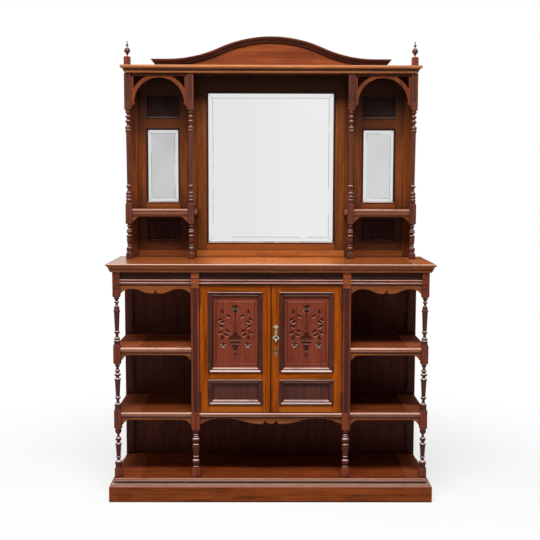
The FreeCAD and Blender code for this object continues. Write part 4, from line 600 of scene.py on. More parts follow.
# Painted highlight, middle tone and shade down the shelves' nosings, and painted shade on the lower shelves' tops
UPPER_NOSE_BODY = [((-1, -215, 643.5), (700, -168, 650.5))]
LOWER_NOSE_BODY = [((-1, -215, 366.5), (700, -168, 373.5))]
LOWER_NOSE_LIP = [((-1, -215, 373.5), (700, -168, 380.2))]
LOWER_SHELF_TOPS = [((-1, -168, 379), (700, 210, 383))]
NOSE_FEET = [((-1, -215, 634), (700, -168, 643.5)), ((-1, -215, 357), (700, -168, 366.5))]
# Painted highlights and shade down the base board's nosing and the plinth's moulding
BASE_ARRIS = [((-1, -215, 95.5), (700, -184, 101.6))]
BASE_BEAD = [((-1, -215, 89), (700, -184, 95.5))]
BASE_NOSE = [((-1, -215, 78), (700, -184, 89))]
PLINTH_LIP = [((-1, -215, 74.5), (700, -186, 81))]
PLINTH_SLOPE = [((-1, -215, 63), (700, -188, 74.5))]
FINIAL_TURNINGS = [((590, 60, 1908), (680, 200, 1990))]
SLIP_FEET = [((400, 170, 1610), (570, 190, 1655))]
FRAME_SHELF_RAIL = [((408, 170, 1228), (558, 200, 1255))]
# Painted shade on the side frames under the bracket shelves
FRAME_FOOT = [((370, 170, 1040), (600, 200, 1200))]
MIRROR_FOOT = [((-1, 170, 1040), (288, 200, 1073))]
# Painted shadow of the frieze on the tops of the doors
DOOR_HEADS = [((-1, -190, 911.5), (300, -150, 924))]
DOOR_BROWS = [((-1, -190, 904), (300, -150, 911.5))]
BASE_RAIL_ENDS = [((336, 150, 1005), (640, 210, 1050))]
LOW_RAILS = [((30, -190, 375), (300, -150, 420))]
MEETING_LINE = [((-1, -190, 380), (3.4, -180, 930))]
# Painted highlight lines on the lying lengths of the door mouldings
MOULDING_LINES = [((53, -190, 876.5), (247, -160, 881.5)), ((53, -190, 509), (247, -160, 514))]
MOULDING_LIPS = [((44, -190, 556.5), (256, -160, 563))]
MOULDING_LOW_LIPS = [((44, -190, 419), (256, -160, 425.5))]
MOULDING_LENGTHS = [((35, -190, 864), (264, -170, 896)), ((35, -190, 549), (264, -170, 581)),
                    ((35, -190, 491), (264, -170, 525)), ((35, -190, 411), (264, -170, 445))]

panel_low, panel_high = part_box("right_door_carved_panel")
panel_across, panel_up = ((panel_low[axis] + panel_high[axis]) / (2 * MM) for axis in (0, 2))
LOW_FLOWER = (51, -53)  # across and up from the panel's middle
LOWER_FLOWERS = [((panel_across + aside - 15, -190, panel_up + LOW_FLOWER[1] - 15),
                  (panel_across + aside + 15, -150, panel_up + LOW_FLOWER[1] + 15))
                 for aside in (-LOW_FLOWER[0], LOW_FLOWER[0])]
BACK_WOOD = (srgb(168, 120, 82), srgb(112, 74, 46))
DOOR_BACK_WOOD = (srgb(134, 70, 40), srgb(92, 44, 24))
DOOR_TOP_SHADE = [(DOOR_HEADS, srgb(70, 30, 8), 0.7), (DOOR_BROWS, srgb(104, 48, 12), 0.5)]
# Painted highlights on the upward fronts of turnings
TURNED_HIGHLIGHTS = {"slope_highlight": srgb(232, 204, 196), "slope_highlight_amount": 0.85, "slope_highlight_start": 0.36}
# Ends without polish, in millimetres along X: (start, end, roughness before, roughness after)
COUNTER_END = [(575, 625, 0.0, 0.85)]
SHELF_ENDS = [(-565, -545, 0.85, 0.0), (570, 592, 0.0, 0.85)]
DOOR_PANEL_FACE, GALLERY_PANEL_FACE = -172 * MM, 181 * MM
DOOR_PANEL_CUT, GALLERY_PANEL_CUT = 3 * MM, 2.4 * MM  # where the shade of the carving is full

finishes = {
    "counter": polished_wood("counter_walnut", srgb(156, 88, 44), srgb(112, 56, 25), 0.0, rubbed=srgb(200, 150, 120),
                             bands=[(COUNTER_HOLLOW, srgb(50, 24, 14)), (COUNTER_LIP, srgb(102, 54, 27), 0.7),
                                    (COUNTER_TOP, (srgb(160, 86, 41), srgb(112, 56, 25)))],
                             # painted light on the middle of the counter top, thrown down by the mirror
                             lit_middle=(205, 335, COUNTER_TOP, (srgb(206, 119, 55), srgb(150, 82, 35))),
                             laid=[(COUNTER_ARRIS, srgb(204, 180, 166))], specular=0.12, roughness=0.22, dirt_and_shade=0.9,
                             dulled=COUNTER_END),
    "plinth": polished_wood("plinth_walnut", srgb(134, 65, 25), srgb(74, 32, 10), 0.0, rubbed=srgb(190, 130, 96),
                            contrast=1.2, specular=0.06, roughness=0.24, slope_highlight=srgb(214, 178, 160), slope_highlight_amount=0.9,
                            laid=[(PLINTH_SLOPE, srgb(136, 86, 66), 0.75), (PLINTH_LIP, srgb(212, 176, 158), 0.9)]),
    "base": polished_wood("base_walnut", srgb(138, 65, 30), srgb(90, 38, 17), 0.0, rubbed=srgb(190, 130, 100),
                          specular=0.12, roughness=0.22, rub=0.6, slope_highlight=srgb(206, 170, 152), slope_highlight_amount=0.9,
                          laid=[(BASE_NOSE, srgb(66, 34, 24), 0.8), (BASE_ARRIS, srgb(128, 76, 52), 0.8),
                                (BASE_BEAD, srgb(176, 142, 128), 0.8)], dulled=SHELF_ENDS),
    "post": polished_wood("post_walnut", srgb(122, 53, 32), srgb(76, 31, 18), rubbed=srgb(150, 84, 58),
                          bands=[(POST_TURNINGS, srgb(66, 29, 23)), (POST_LINES, srgb(30, 12, 8))], specular=0.14,
                          roughness=0.14, dirt_and_shade=0.9, laid=[(FINIAL_TURNINGS, srgb(66, 36, 30), 0.65)], **TURNED_HIGHLIGHTS),
    "pilaster": polished_wood("pilaster_walnut", srgb(134, 61, 34), srgb(86, 37, 22), rubbed=srgb(168, 100, 76),
                              bands=[(PILASTER_RECESS, srgb(62, 26, 24)), (PILASTER_LEGS, srgb(70, 30, 23)),
                                     (PILASTER_HEADS, srgb(138, 68, 36)), (POST_LINES, srgb(40, 16, 9))],
                              specular=0.1, roughness=0.2, dirt_and_shade=0.9, **TURNED_HIGHLIGHTS),
    "column": polished_wood("column_walnut", srgb(104, 52, 36), srgb(62, 29, 20),
                            bands=[(COLUMN_RECESS, srgb(64, 34, 28))],
                            rubbed=srgb(140, 80, 62), specular=0.16, roughness=0.14, dirt_and_shade=0.9,
                            slope_highlight=srgb(226, 200, 190), slope_highlight_amount=0.6, slope_highlight_start=0.42),
    "shelf": polished_wood("shelf_walnut", srgb(152, 78, 42), srgb(96, 43, 22), 0.0, rubbed=srgb(206, 150, 122),
                           specular=0.12, roughness=0.2, slope_highlight=srgb(210, 170, 152), slope_highlight_amount=0.95, slope_highlight_start=-0.45,
                           laid=[(UPPER_NOSE_BODY, srgb(188, 108, 64), 0.95), (NOSE_FEET, srgb(72, 27, 8), 0.95),
                                 (LOWER_NOSE_BODY, srgb(146, 80, 46), 0.95),
                                 (LOWER_NOSE_LIP, srgb(180, 142, 127), 0.8),
                                 (LOWER_SHELF_TOPS, (srgb(118, 58, 24), srgb(72, 31, 11)))],
                           dulled=SHELF_ENDS),
    "bracket_shelf": polished_wood("bracket_shelf_walnut", srgb(152, 78, 42), srgb(96, 43, 22), 0.0,
                                   rubbed=srgb(176, 130, 108), specular=0.12, roughness=0.2,
                                   slope_highlight=srgb(158, 122, 106), slope_highlight_amount=0.85, slope_highlight_start=-0.1,
                                   laid=[(BRACKET_NOSE, srgb(150, 112, 96)), (BRACKET_BODY, srgb(120, 73, 53)),
                                         (BRACKET_FOOT, srgb(70, 35, 23))]),
    "apron": polished_wood("apron_walnut", srgb(136, 77, 38), srgb(96, 49, 23), 0.0, rubbed=srgb(160, 104, 72),
                           bands=[(APRON_JOINTS, srgb(34, 14, 8)), (BRACKET_APRONS, srgb(60, 29, 18))],
                           specular=0.08),
    "arch": polished_wood("arch_walnut", srgb(114, 57, 31), srgb(76, 35, 20), rubbed=srgb(150, 92, 66),
                          specular=0.08),
    "frieze": polished_wood("frieze_walnut", srgb(112, 56, 44), srgb(70, 33, 25), 0.0, rubbed=srgb(176, 124, 108),
                            specular=0.2, roughness=0.18, dirt_and_shade=0.95, reach=14 * MM, slope_highlight=srgb(200, 153, 134)),
    "frieze_reed": polished_wood("frieze_reed_walnut", srgb(76, 40, 34), srgb(44, 22, 18), 0.0, specular=0.08,
                                 dirt_and_shade=0.95, reach=14 * MM),
    "frame": polished_wood("frame_walnut", srgb(126, 67, 31), srgb(78, 37, 15), crossing=FRAME_RAILS,
                           bands=[(FRAME_SHELF_RAIL, srgb(152, 82, 38), 0.7), (FRAME_FOOT, srgb(66, 36, 25), 0.6)],
                           specular=0.05, cornice_shade=(1380, 1720), bare=BACK_WOOD),
    "back_post": polished_wood("back_post_walnut", srgb(118, 60, 28), srgb(70, 31, 12), specular=0.05,
                               cornice_shade=(1420, 1800), bare=BACK_WOOD),
    "mirror_frame": polished_wood("mirror_frame_walnut", srgb(128, 71, 34), srgb(80, 40, 17),
                                  crossing=MIRROR_RAILS, bands=[(MIRROR_FOOT, srgb(156, 84, 38), 0.6)],
                                  specular=0.05, cornice_shade=(1540, 1830), bare=BACK_WOOD),
    "base_rail": polished_wood("base_rail_walnut", srgb(170, 99, 50), srgb(128, 68, 32), 0.0, specular=0.06,
                               bands=[(BASE_RAIL_ENDS, srgb(96, 48, 22))], bare=BACK_WOOD),
    "cornice": polished_wood("cornice_walnut", srgb(176, 110, 66), srgb(134, 76, 42), 0.0,
                             bands=[(CORNICE_HOLLOW, srgb(46, 18, 8)), (CORNICE_UNDERSIDE, srgb(28, 13, 9))],
                             rubbed=srgb(180, 124, 90), specular=0.12, roughness=0.24, dirt_and_shade=0.9,
                             slope_highlight=srgb(182, 126, 90), slope_highlight_amount=0.5),
    "crest": polished_wood("crest_walnut", srgb(136, 69, 37), srgb(92, 42, 21), 0.0, specular=0.05, bare=BACK_WOOD),
    "crest_moulding": polished_wood("crest_moulding_walnut", srgb(104, 50, 32), srgb(64, 28, 18), 0.0,
                                    specular=0.2, roughness=0.2),
    "stile": polished_wood("door_stile_walnut", srgb(168, 80, 15), srgb(92, 39, 7), specular=0.03,
                           rubbed=srgb(176, 100, 50), bands=[(MEETING_LINE, srgb(20, 8, 5))] + DOOR_TOP_SHADE),
    "rail": polished_wood("door_rail_walnut", srgb(164, 79, 13), srgb(96, 41, 6), 0.0, specular=0.03,
                          rubbed=srgb(176, 100, 50), bands=[(LOW_RAILS, srgb(160, 84, 23))] + DOOR_TOP_SHADE),
    "moulding": polished_wood("moulding_walnut", srgb(84, 42, 32), srgb(50, 23, 18), crossing=MOULDING_LENGTHS,
                              rubbed=srgb(160, 112, 98), specular=0.1, roughness=0.16, dirt_and_shade=0.85, reach=6 * MM,
                              slope_highlight=srgb(196, 166, 157), slope_highlight_amount=0.9,
                              laid=[(MOULDING_LINES, srgb(134, 96, 88)), (MOULDING_LIPS, srgb(224, 196, 186)),
                                    (MOULDING_LOW_LIPS, srgb(186, 162, 153), 0.95)]),
    "slip": polished_wood("slip_walnut", srgb(54, 26, 19), srgb(28, 12, 9), specular=0.1, reach=6 * MM,
                          slope_highlight=srgb(150, 128, 120), laid=[(SLIP_FEET, srgb(44, 31, 29), 0.9)]),
    "inner": polished_wood("inner_wood", srgb(106, 59, 47), srgb(64, 34, 27), roughness=0.55, specular=0.05,
                           contrast=0.7, bare=BACK_WOOD),
    "rear_post": polished_wood("rear_post_wood", srgb(92, 42, 28), srgb(54, 23, 16), specular=0.08, bare=BACK_WOOD),
    "reeded": carved_wood("reeded_walnut", srgb(98, 54, 44), srgb(62, 32, 26), DOOR_PANEL_FACE, DOOR_PANEL_CUT,
                          srgb(24, 12, 10), specular=0.12, bare=DOOR_BACK_WOOD),
    "carving": carved_wood("carved_walnut", srgb(130, 60, 40), srgb(92, 39, 26), DOOR_PANEL_FACE, DOOR_PANEL_CUT,
                           srgb(46, 23, 18), specular=0.05, cut_highlight=0.5, cut_highlight_color=srgb(168, 142, 126),
                           rim_highlights=LOWER_FLOWERS, bare=DOOR_BACK_WOOD),
    "gallery_carving": carved_wood("gallery_carved_walnut", srgb(68, 38, 32), srgb(46, 24, 20), GALLERY_PANEL_FACE,
                                   GALLERY_PANEL_CUT, srgb(10, 5, 5), specular=0.05, bare=BACK_WOOD),
    "gallery_reeded": carved_wood("gallery_reeded_walnut", srgb(40, 24, 21), srgb(24, 14, 13), GALLERY_PANEL_FACE,
                                  GALLERY_PANEL_CUT, srgb(12, 7, 7), specular=0.05, bare=BACK_WOOD),
    "brass": old_brass("antique_brass", srgb(228, 214, 180), srgb(92, 76, 52), 0.26),
    "key_brass": old_brass("key_plate_brass", srgb(156, 132, 96), srgb(80, 62, 42), 0.34),
    "hinge": old_brass("hinge_brass_dark", srgb(96, 62, 34), srgb(48, 30, 18), 0.45),
    # Each mirror's two greys differ as painted reflections
    "centre_mirror": silvered_glass("centre_mirror_silver", 0.78, 0.84, (-288, 1073), (288, 1750), bevel=28),
    "side_mirror": silvered_glass("side_mirror_silver", 0.50, 0.60, (408, 1255), (558, 1588), bevel=22),
}

node_finishes = {
    "counter": ["counter_top"],
    "plinth": ["plinth_front", "plinth_returns"],
    "base": ["base_board"],
    "post": ["front_post_left", "front_post_right", "finials"],
    "pilaster": ["cupboard_post_left", "cupboard_post_right"],
    "column": ["upper_columns"],
    "shelf": ["side_shelves_left", "side_shelves_right", "cupboard_floor"],
    "bracket_shelf": ["bracket_shelves"],
    "apron": ["shelf_aprons", "frieze_aprons", "cupboard_apron", "bracket_aprons"],
    "arch": ["arches"],
    "frieze": ["frieze_rails"],
    "frame": ["side_frame_left", "side_frame_right"],
    "back_post": ["back_posts"],
    "mirror_frame": ["mirror_frame"],
    "base_rail": ["base_rails"],
    "cornice": ["cornice"],
    "crest": ["crest_board"],
    "crest_moulding": ["crest_moulding"],
    "stile": ["left_door_stiles", "right_door_stiles", "meeting_bead"],
    "rail": ["left_door_rails", "right_door_rails"],
    "moulding": ["left_door_mouldings", "right_door_mouldings"],
    "slip": ["gallery_slips"],
    "inner": ["lower_back_boards", "mirror_boards", "cupboard_sides", "cupboard_shelf", "cupboard_cleats"],
    "rear_post": ["rear_posts"],
    "reeded": ["left_door_reeded_panel", "right_door_reeded_panel"],
    "carving": ["left_door_carved_panel", "right_door_carved_panel"],
    "gallery_carving": ["gallery_carved_panels"],
    "gallery_reeded": ["gallery_reeded_panels"],
    "brass": ["handle_backplate", "handle_drop"],
    "key_brass": ["key_escutcheon"],
    "hinge": ["hinge_post_leaves", "left_door_hinge_leaves", "right_door_hinge_leaves", "bolt_plate", "door_bolt",
              "door_lock", "lock_bolt"],
    "centre_mirror": ["mirror_centre"],
    "side_mirror": ["side_mirrors"],
}


def dress(thing, finish):
    """Give one object a single finish."""
    thing.data.materials.clear()
    thing.data.materials.append(finishes[finish])


for finish, names in node_finishes.items():
    for name in names:
        dress(nodes[name], finish)


# Meshes

CARVING_PITCH = 1.15 * MM  # between the points of a carved face
# The angles in degrees under which faces shade as one
CARVING_SMOOTH, REED_SMOOTH, BRASS_SMOOTH = 50, 40, 45
GALLERY_OPENING = 408 * MM  # from the middle to the inner edges of the gallery's panels


def mesh_piece(name, points, faces, finish, smooth=None):
    """A new mesh object; smooth is the angle in degrees under which its faces shade as one."""
    mesh = bpy.data.meshes.new(name)
    mesh.from_pydata(points, [], faces)
    work = bmesh.new()
    work.from_mesh(mesh)
    bmesh.ops.recalc_face_normals(work, faces=work.faces)
    work.to_mesh(mesh)
    work.free()
    if smooth:
        mesh.polygons.foreach_set("use_smooth", [True] * len(mesh.polygons))
        mesh.set_sharp_from_angle(angle=math.radians(smooth))
    piece = bpy.data.objects.new(name, mesh)
    bpy.context.scene.collection.objects.link(piece)
    mesh.materials.append(finishes[finish])
    return piece


def joined(*shapes):
    """Several shapes' points and faces as one."""
    points, faces = [], []
    for more_points, more_faces in shapes:
        faces += [tuple(corner + len(points) for corner in face) for face in more_faces]
        points += more_points
    return points, faces


def relief_board(box, depth_at, margin):
    """Points and faces of a board whose front is cut inside its margin, to a depth given for each place."""
    low, high = (np.array(corner) for corner in box)

    def lines(start, end):
        steps = int(round((end - start - 2 * margin) / CARVING_PITCH))
        return np.concatenate([[start], np.linspace(start + margin, end - margin, steps + 1), [end]])

    across, up = lines(low[0], high[0]), lines(low[2], high[2])
    grid_x, grid_z = np.meshgrid(across, up)
    middle = (low + high) / 2
    depth = depth_at((grid_x - middle[0]) / MM, (grid_z - middle[2]) / MM) * MM
    for edge in (depth[0], depth[-1], depth[:, 0], depth[:, -1]):
        edge[:] = 0
    front = np.stack([grid_x, low[1] + depth, grid_z], axis=-1).reshape(-1, 3)
    wide, tall = len(across), len(up)
    points = [tuple(point) for point in front]
    faces = []
    for row in range(tall - 1):
        start = row * wide
        faces += [(start + col, start + col + 1, start + wide + col + 1, start + wide + col)
                  for col in range(wide - 1)]
    first = len(points)
    points += [(low[0], high[1], low[2]), (high[0], high[1], low[2]), (high[0], high[1], high[2]),
               (low[0], high[1], high[2])]
    bottom = list(range(wide))
    top = [(tall - 1) * wide + col for col in range(wide)]
    left = [row * wide for row in range(tall)]
    right = [row * wide + wide - 1 for row in range(tall)]
    faces += [(first, first + 1, first + 2, first + 3), tuple(bottom + [first + 1, first]),
              tuple(top + [first + 2, first + 3]), tuple(left + [first + 3, first]),
              tuple(right + [first + 2, first + 1])]
    return points, faces


def gouge(x, z, place, length, width, angle, depth, tip=0.0):
    """Depth of one gouge cut, a pointed oval; tip moves its widest part away from the end the angle points to."""
    turn = math.radians(angle)
    along = ((x - place[0]) * math.cos(turn) + (z - place[1]) * math.sin(turn)) / (length / 2)
    aside = (z - place[1]) * math.cos(turn) - (x - place[0]) * math.sin(turn)
    inside = np.clip(1 - along ** 2, 0, 1) ** 0.75 * (1 - tip * along)
    share = np.abs(aside) / np.maximum(width / 2 * inside, 1e-6)
    return depth * np.clip(1 - share ** 2.2, 0, 1) * (np.abs(along) < 1)


def curved(a, b, c, d, steps):
    """Places along the smooth curve from b up to c that comes from a and goes on to d."""
    return [[0.5 * (2 * b[i] + (c[i] - a[i]) * t + (2 * a[i] - 5 * b[i] + 4 * c[i] - d[i]) * t ** 2
                    + (3 * b[i] - a[i] - 3 * c[i] + d[i]) * t ** 3) for i in (0, 1)]
            for t in (step / steps for step in range(steps))]


def vein(x, z, points, width, depth):
    """Depth of a V-cut line through several points, as a smooth curve."""
    line = []
    ends = [points[0]] + list(points) + [points[-1]]
    for four in zip(ends, ends[1:], ends[2:], ends[3:]):
        line += curved(*four, steps=6)
    line.append(list(points[-1]))
    cut = np.zeros_like(x)
    for start, end in zip(line, line[1:]):
        run = (end[0] - start[0], end[1] - start[1])
        reach = run[0] ** 2 + run[1] ** 2 + 1e-9
        share = np.clip(((x - start[0]) * run[0] + (z - start[1]) * run[1]) / reach, 0, 1)
        away = np.hypot(x - start[0] - share * run[0], z - start[1] - share * run[1])
        cut = np.maximum(cut, depth * np.clip(1 - away / (width / 2), 0, 1))
    return cut


# Leaves of the flower spray on its right half: (across, up, length, angle), in millimetres from the panel's middle
SPRAY_LEAVES = [(30, 68, 23, 30), (64, 53, 22, -36), (53, 43, 24, -28), (59, 24, 23, 35), (64, -2, 21, -32),
                (33, 5, 23, 47), (38, -12, 21, 37), (55, -25, 22, -73)]
SPRAY_STEMS = [[(0, 6), (22, 38), (44, 60), (54, 78)], [(29, 44), (48, 28), (57, 2), (57, -22), (51, -44)],
               [(0, 18), (10, 42), (22, 62)], [(0, 10), (14, 26), (30, 34)], [(0, 64), (8, 78)]]
# The urn from its top down: (up, half width, depth of the cut)
URN_ROWS = [(6, 11, 0.6), (3, 15, 1.0), (-2, 15, 1.6), (-4, 10, 3.4), (-12, 10, 3.6), (-15.5, 14, 3.6),
            (-19, 20, 3.2), (-27, 29, 2.2), (-32, 31.5, 1.2), (-33.5, 28, 3.2), (-38.5, 25, 0.8), (-40, 23, 3.6),
            (-46, 20, 3.4), (-52.5, 18.5, 0.6), (-54, 15, 3.4), (-62, 12, 3.2), (-74, 7, 3.6), (-81, 3.5, 3.6),
            (-84, 5, 0.4), (-86.5, 3.5, 2.8), (-98, 5, 1.8)]
URN_FEET = [(0, -110), (9, -110), (17, -110), (31, -109)]
TOP_FLOWER = (0, 98)
SIDE_BUD = (54.5, 87)
# Half sizes of the border lines: (across, up)
URN_BORDER, SPRAY_BORDER = (81, 131), (62, 40)
# Leaves and stems of the gallery's spray on its right half: (place, length, width, angle)
GALLERY_LEAVES = [((15, 1), 26, 7, 42), ((36, 28), 26, 7, 10), ((44, 8), 14, 5, 80), ((44, -20), 16, 5, 82),
                  ((30, -6), 24, 6, 52), ((22, -28), 20, 5, 12)]
GALLERY_STEMS = [[(0, -30), (6, 12), (20, 25), (46, 31)], [(0, -30), (16, -22), (36, -2), (42, 18)],
                 [(0, -26), (12, -4), (24, 10)]]


def petals(x, z, middle, reach, angles, length, width, depth, tip=0.0):
    """Depths of the petals of a flower, each cut at its own angle round the middle."""
    turns = [(angle, math.radians(angle)) for angle in angles]
    return [gouge(x, z, (middle[0] + reach * math.cos(turn), middle[1] + reach * math.sin(turn)), length, width, angle,
                  depth, tip) for angle, turn in turns]


def flower_urn(x, z):
    """Depth of the door panel's carving, in millimetres: an urn of flowers inside a thin border line."""
    side = np.abs(x)
    from_stile, from_rail = side - URN_BORDER[0], np.abs(z) - URN_BORDER[1]
    upright = from_stile > from_rail
    border = np.abs(np.maximum(from_stile, from_rail))
    line_depth, line_reach = np.where(upright, 2.6, 1.35), np.where(upright, 2.6, 1.9)
    cuts = [line_depth * np.clip(1 - border / line_reach, 0, 1)]
    cuts += [gouge(side, z, (across, up), length, 13, angle, depth=4.0) for across, up, length, angle in SPRAY_LEAVES]
    cuts += [vein(side, z, stem, width=3.4, depth=1.9) for stem in SPRAY_STEMS]
    cuts.append(vein(side, z, [(0, 80), (0, 6)], width=4.0, depth=2.4))
    cuts.append(gouge(side, z, SIDE_BUD, length=22, width=15, angle=90, depth=3.4, tip=0.35))
    cuts += petals(x, z, TOP_FLOWER, 11.5, range(18, 378, 36), length=16, width=7, depth=4.4, tip=-0.3)
    cuts.append(2.6 * np.clip(1 - np.abs(np.hypot(x - TOP_FLOWER[0], z - TOP_FLOWER[1]) - 3) / 1.4, 0, 1))
    cuts += petals(side, z, LOW_FLOWER, 6.8, range(90, 450, 72), length=12, width=8.5, depth=4.2)
    cuts.append(4.8 * np.clip(1 - np.hypot(side - LOW_FLOWER[0], z - LOW_FLOWER[1]) / 4.6, 0, 1) ** 0.6)
    cuts += [vein(side, z, [(1.5, -96), (foot[0] * 0.5, -102), foot], width=2.8, depth=2.0) for foot in URN_FEET]
    rows = np.array(URN_ROWS)[::-1]
    half, deep = (np.interp(z, rows[:, 0], rows[:, column], left=0, right=0) for column in (1, 2))
    body = np.clip((half - side) / 1.2, 0, 1)
    outline = 1.6 * np.clip(1 - np.abs(half - side) / 1.4, 0, 1) * (half > 0)
    return np.maximum(np.where(body > 0, body * deep, np.maximum.reduce(cuts)), outline)


def leaf_spray(x, z):
    """Depth of the small gallery panel's carving, in millimetres: a spray of leaves from one root."""
    side = np.abs(x)
    border = np.abs(np.maximum(side - SPRAY_BORDER[0], np.abs(z) - SPRAY_BORDER[1]))
    cuts = [0.8 * np.clip(1 - border / 1.5, 0, 1)]
    cuts.append(gouge(x, z, (0, 2), length=60, width=9, angle=90, depth=2.6, tip=0.2))
    cuts += [gouge(side, z, place, length, width, angle, depth=2.4) for place, length, width, angle in GALLERY_LEAVES]
    cuts += [vein(side, z, stem, width=3.2, depth=1.6) for stem in GALLERY_STEMS]
    return np.maximum.reduce(cuts)


def carved_panels():
    """The door panels with their flower urns and the gallery panels with their sprays."""
    for hand in ("left", "right"):
        name = f"{hand}_door_carved_panel"
        points, faces = relief_board(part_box(name), flower_urn, margin=14 * MM)
        piece = mesh_piece(f"{hand}_door_flower_carving", points, faces, "carving", CARVING_SMOOTH)
        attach(piece, f"{hand}_door")
        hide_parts(name)
    low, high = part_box("gallery_carved_panels")
    boards = [((low[0], low[1], low[2]), (-GALLERY_OPENING, high[1], high[2])),
              ((GALLERY_OPENING, low[1], low[2]), (high[0], high[1], high[2]))]
    points, faces = joined(*(relief_board(board, leaf_spray, margin=6 * MM) for board in boards))
    piece = mesh_piece("gallery_leaf_carving", points, faces, "gallery_carving", CARVING_SMOOTH)
    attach(piece, "carcase")
    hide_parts("gallery_carved_panels")


def prism(outline, axis, start, end):
    """Points and faces of an outline run along an axis; the outline gives the other two axes in order."""
    points = []
    for place in (start, end):
        for first, second in outline:
            point = [first, second]
            point.insert(axis, place)
            points.append(tuple(point))
    count = len(outline)
    faces = [(i, (i + 1) % count, count + (i + 1) % count, count + i) for i in range(count)]
    faces += [tuple(range(count)), tuple(range(count, 2 * count))]
    return points, faces


def reed_line(start, end, count, face, deep, steps=8):
    """Places along a row of half-round reeds whose crowns reach the face: (along, depth)."""
    pitch = (end - start) / count
    line = []
    for reed in range(count):
        for step in range(steps + (reed == count - 1)):
            turn = math.pi * step / steps
            line.append((start + pitch * (reed + 0.5 - 0.5 * math.cos(turn)), face + deep * (1 - math.sin(turn))))
    return line


def reeded_boards(name, node_name, body, finish, spans, reeds, deep):
    """Boards of upright reeds in place of plain panels; spans are (start, end) across."""
    low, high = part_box(node_name)
    boards = []
    for start, end in spans:
        outline = reed_line(start, end, reeds, low[1], deep) + [(end, high[1]), (start, high[1])]
        boards.append(prism(outline, 2, low[2], high[2]))
    points, faces = joined(*boards)
    piece = mesh_piece(name, points, faces, finish, REED_SMOOTH)
    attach(piece, body)
    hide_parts(node_name)


def reeded_panels():
    """Upright reeding in the low door panels and at the top of the gallery."""
    for hand in ("left", "right"):
        name = f"{hand}_door_reeded_panel"
        low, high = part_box(name)
        reeded_boards(f"{hand}_door_reeding", name, f"{hand}_door", "reeded", [(low[0], high[0])], reeds=30,
                      deep=2.4 * MM)
    low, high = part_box("gallery_reeded_panels")
    spans = [(low[0], -GALLERY_OPENING), (GALLERY_OPENING, high[0])]
    reeded_boards("gallery_reeding", "gallery_reeded_panels", "carcase", "gallery_reeded", spans, reeds=18,
                  deep=2 * MM)


def frieze_reeding():
    """Three lying reeds in the sunk band of each frieze rail."""
    face, bottom, top, deep, bed = -171 * MM, 945.5 * MM, 975.5 * MM, 3 * MM, 1 * MM
    outline = [(depth, up) for up, depth in reed_line(bottom, top, count=3, face=face - deep, deep=deep)]
    outline += [(face + bed, top), (face + bed, bottom)]
    spans = ((-631, -334), (-300, 300), (334, 631))
    points, faces = joined(*(prism(outline, 0, start * MM, end * MM) for start, end in spans))
    piece = mesh_piece("frieze_reeding", points, faces, "frieze_reed", REED_SMOOTH)
    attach(piece, "carcase")


def plinth_bearers():
    """Battens along the plinth's sides, which the base board beds on inside its moulded edge."""
    outline = [(647, 52), (657, 44), (662.8, 44), (662.8, 79.8), (647, 79.8)]
    front, back = -183.5 * MM, 176.5 * MM
    points, faces = joined(*(prism([(hand * across * MM, up * MM) for across, up in outline], 1, front, back)
                             for hand in (1, -1)))
    piece = mesh_piece("plinth_bearers", points, faces, "inner")
    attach(piece, "carcase")


def cut_plate(outlines, front, back, edge):
    """Points and faces of a brass plate from outlines (the first the rim, the rest piercings), edges eased."""
    curve = bpy.data.curves.new("plate_outline", "CURVE")
    curve.dimensions = "2D"
    curve.fill_mode = "BOTH"
    curve.extrude = (back - front) / 2 - edge
    curve.bevel_depth = edge
    curve.bevel_resolution = 2
    curve.offset = -edge
    for outline in outlines:
        line = curve.splines.new("POLY")
        line.points.add(len(outline) - 1)
        for point, (across, up) in zip(line.points, outline):
            point.co = (across, up, 0, 1)
        line.use_cyclic_u = True
    shaper = bpy.data.objects.new("plate_outline", curve)
    mesh = bpy.data.meshes.new_from_object(shaper)
    middle = (front + back) / 2
    points = [(point.co.x, middle - point.co.z, point.co.y) for point in mesh.vertices]
    faces = [tuple(face.vertices) for face in mesh.polygons]
    for block, store in ((shaper, bpy.data.objects), (curve, bpy.data.curves), (mesh, bpy.data.meshes)):
        store.remove(block)
    return points, faces


def rounded_outline(corners, steps=5):
    """A closed smooth line through corners given in millimetres, as metres."""
    count = len(corners)
    line = []
    for i in range(count):
        four = [corners[(i + j) % count] for j in (-1, 0, 1, 2)]
        line += [(MM * across, MM * up) for across, up in curved(*four, steps)]
    return line


def both_halves(right_half, middle):
    """A whole outline from its right half, top to bottom, about an upright middle line."""
    right = [(middle + across, up) for across, up in right_half]
    left = [(middle - across, up) for across, up in reversed(right_half) if across > 0]
    return right + left


def domed_boss(place, profile, turns=24):
    """Points and faces of a boss turned about an axis towards the front, from its place in millimetres and its profile
    of (radius, how far out)."""
    across, base, up = (value * MM for value in place)
    points = [(across + radius * math.cos(turn), base - out, up + radius * math.sin(turn))
              for radius, out in profile for turn in (2 * math.pi * step / turns for step in range(turns))]
    faces = [tuple(range(turns)), tuple(range((len(profile) - 1) * turns, len(profile) * turns))]
    for ring in range(len(profile) - 1):
        start = ring * turns
        faces += [(start + i, start + (i + 1) % turns, start + turns + (i + 1) % turns, start + turns + i)
                  for i in range(turns)]
    return points, faces


def dome(radius, height, steps=7):
    """Profile of a rounded boss, from its sizes in millimetres; it stops just short of its tip."""
    turns = [math.pi / 2 * step / steps for step in range(steps)] + [1.54]
    return [(radius * MM * math.cos(turn), height * MM * math.sin(turn)) for turn in turns]


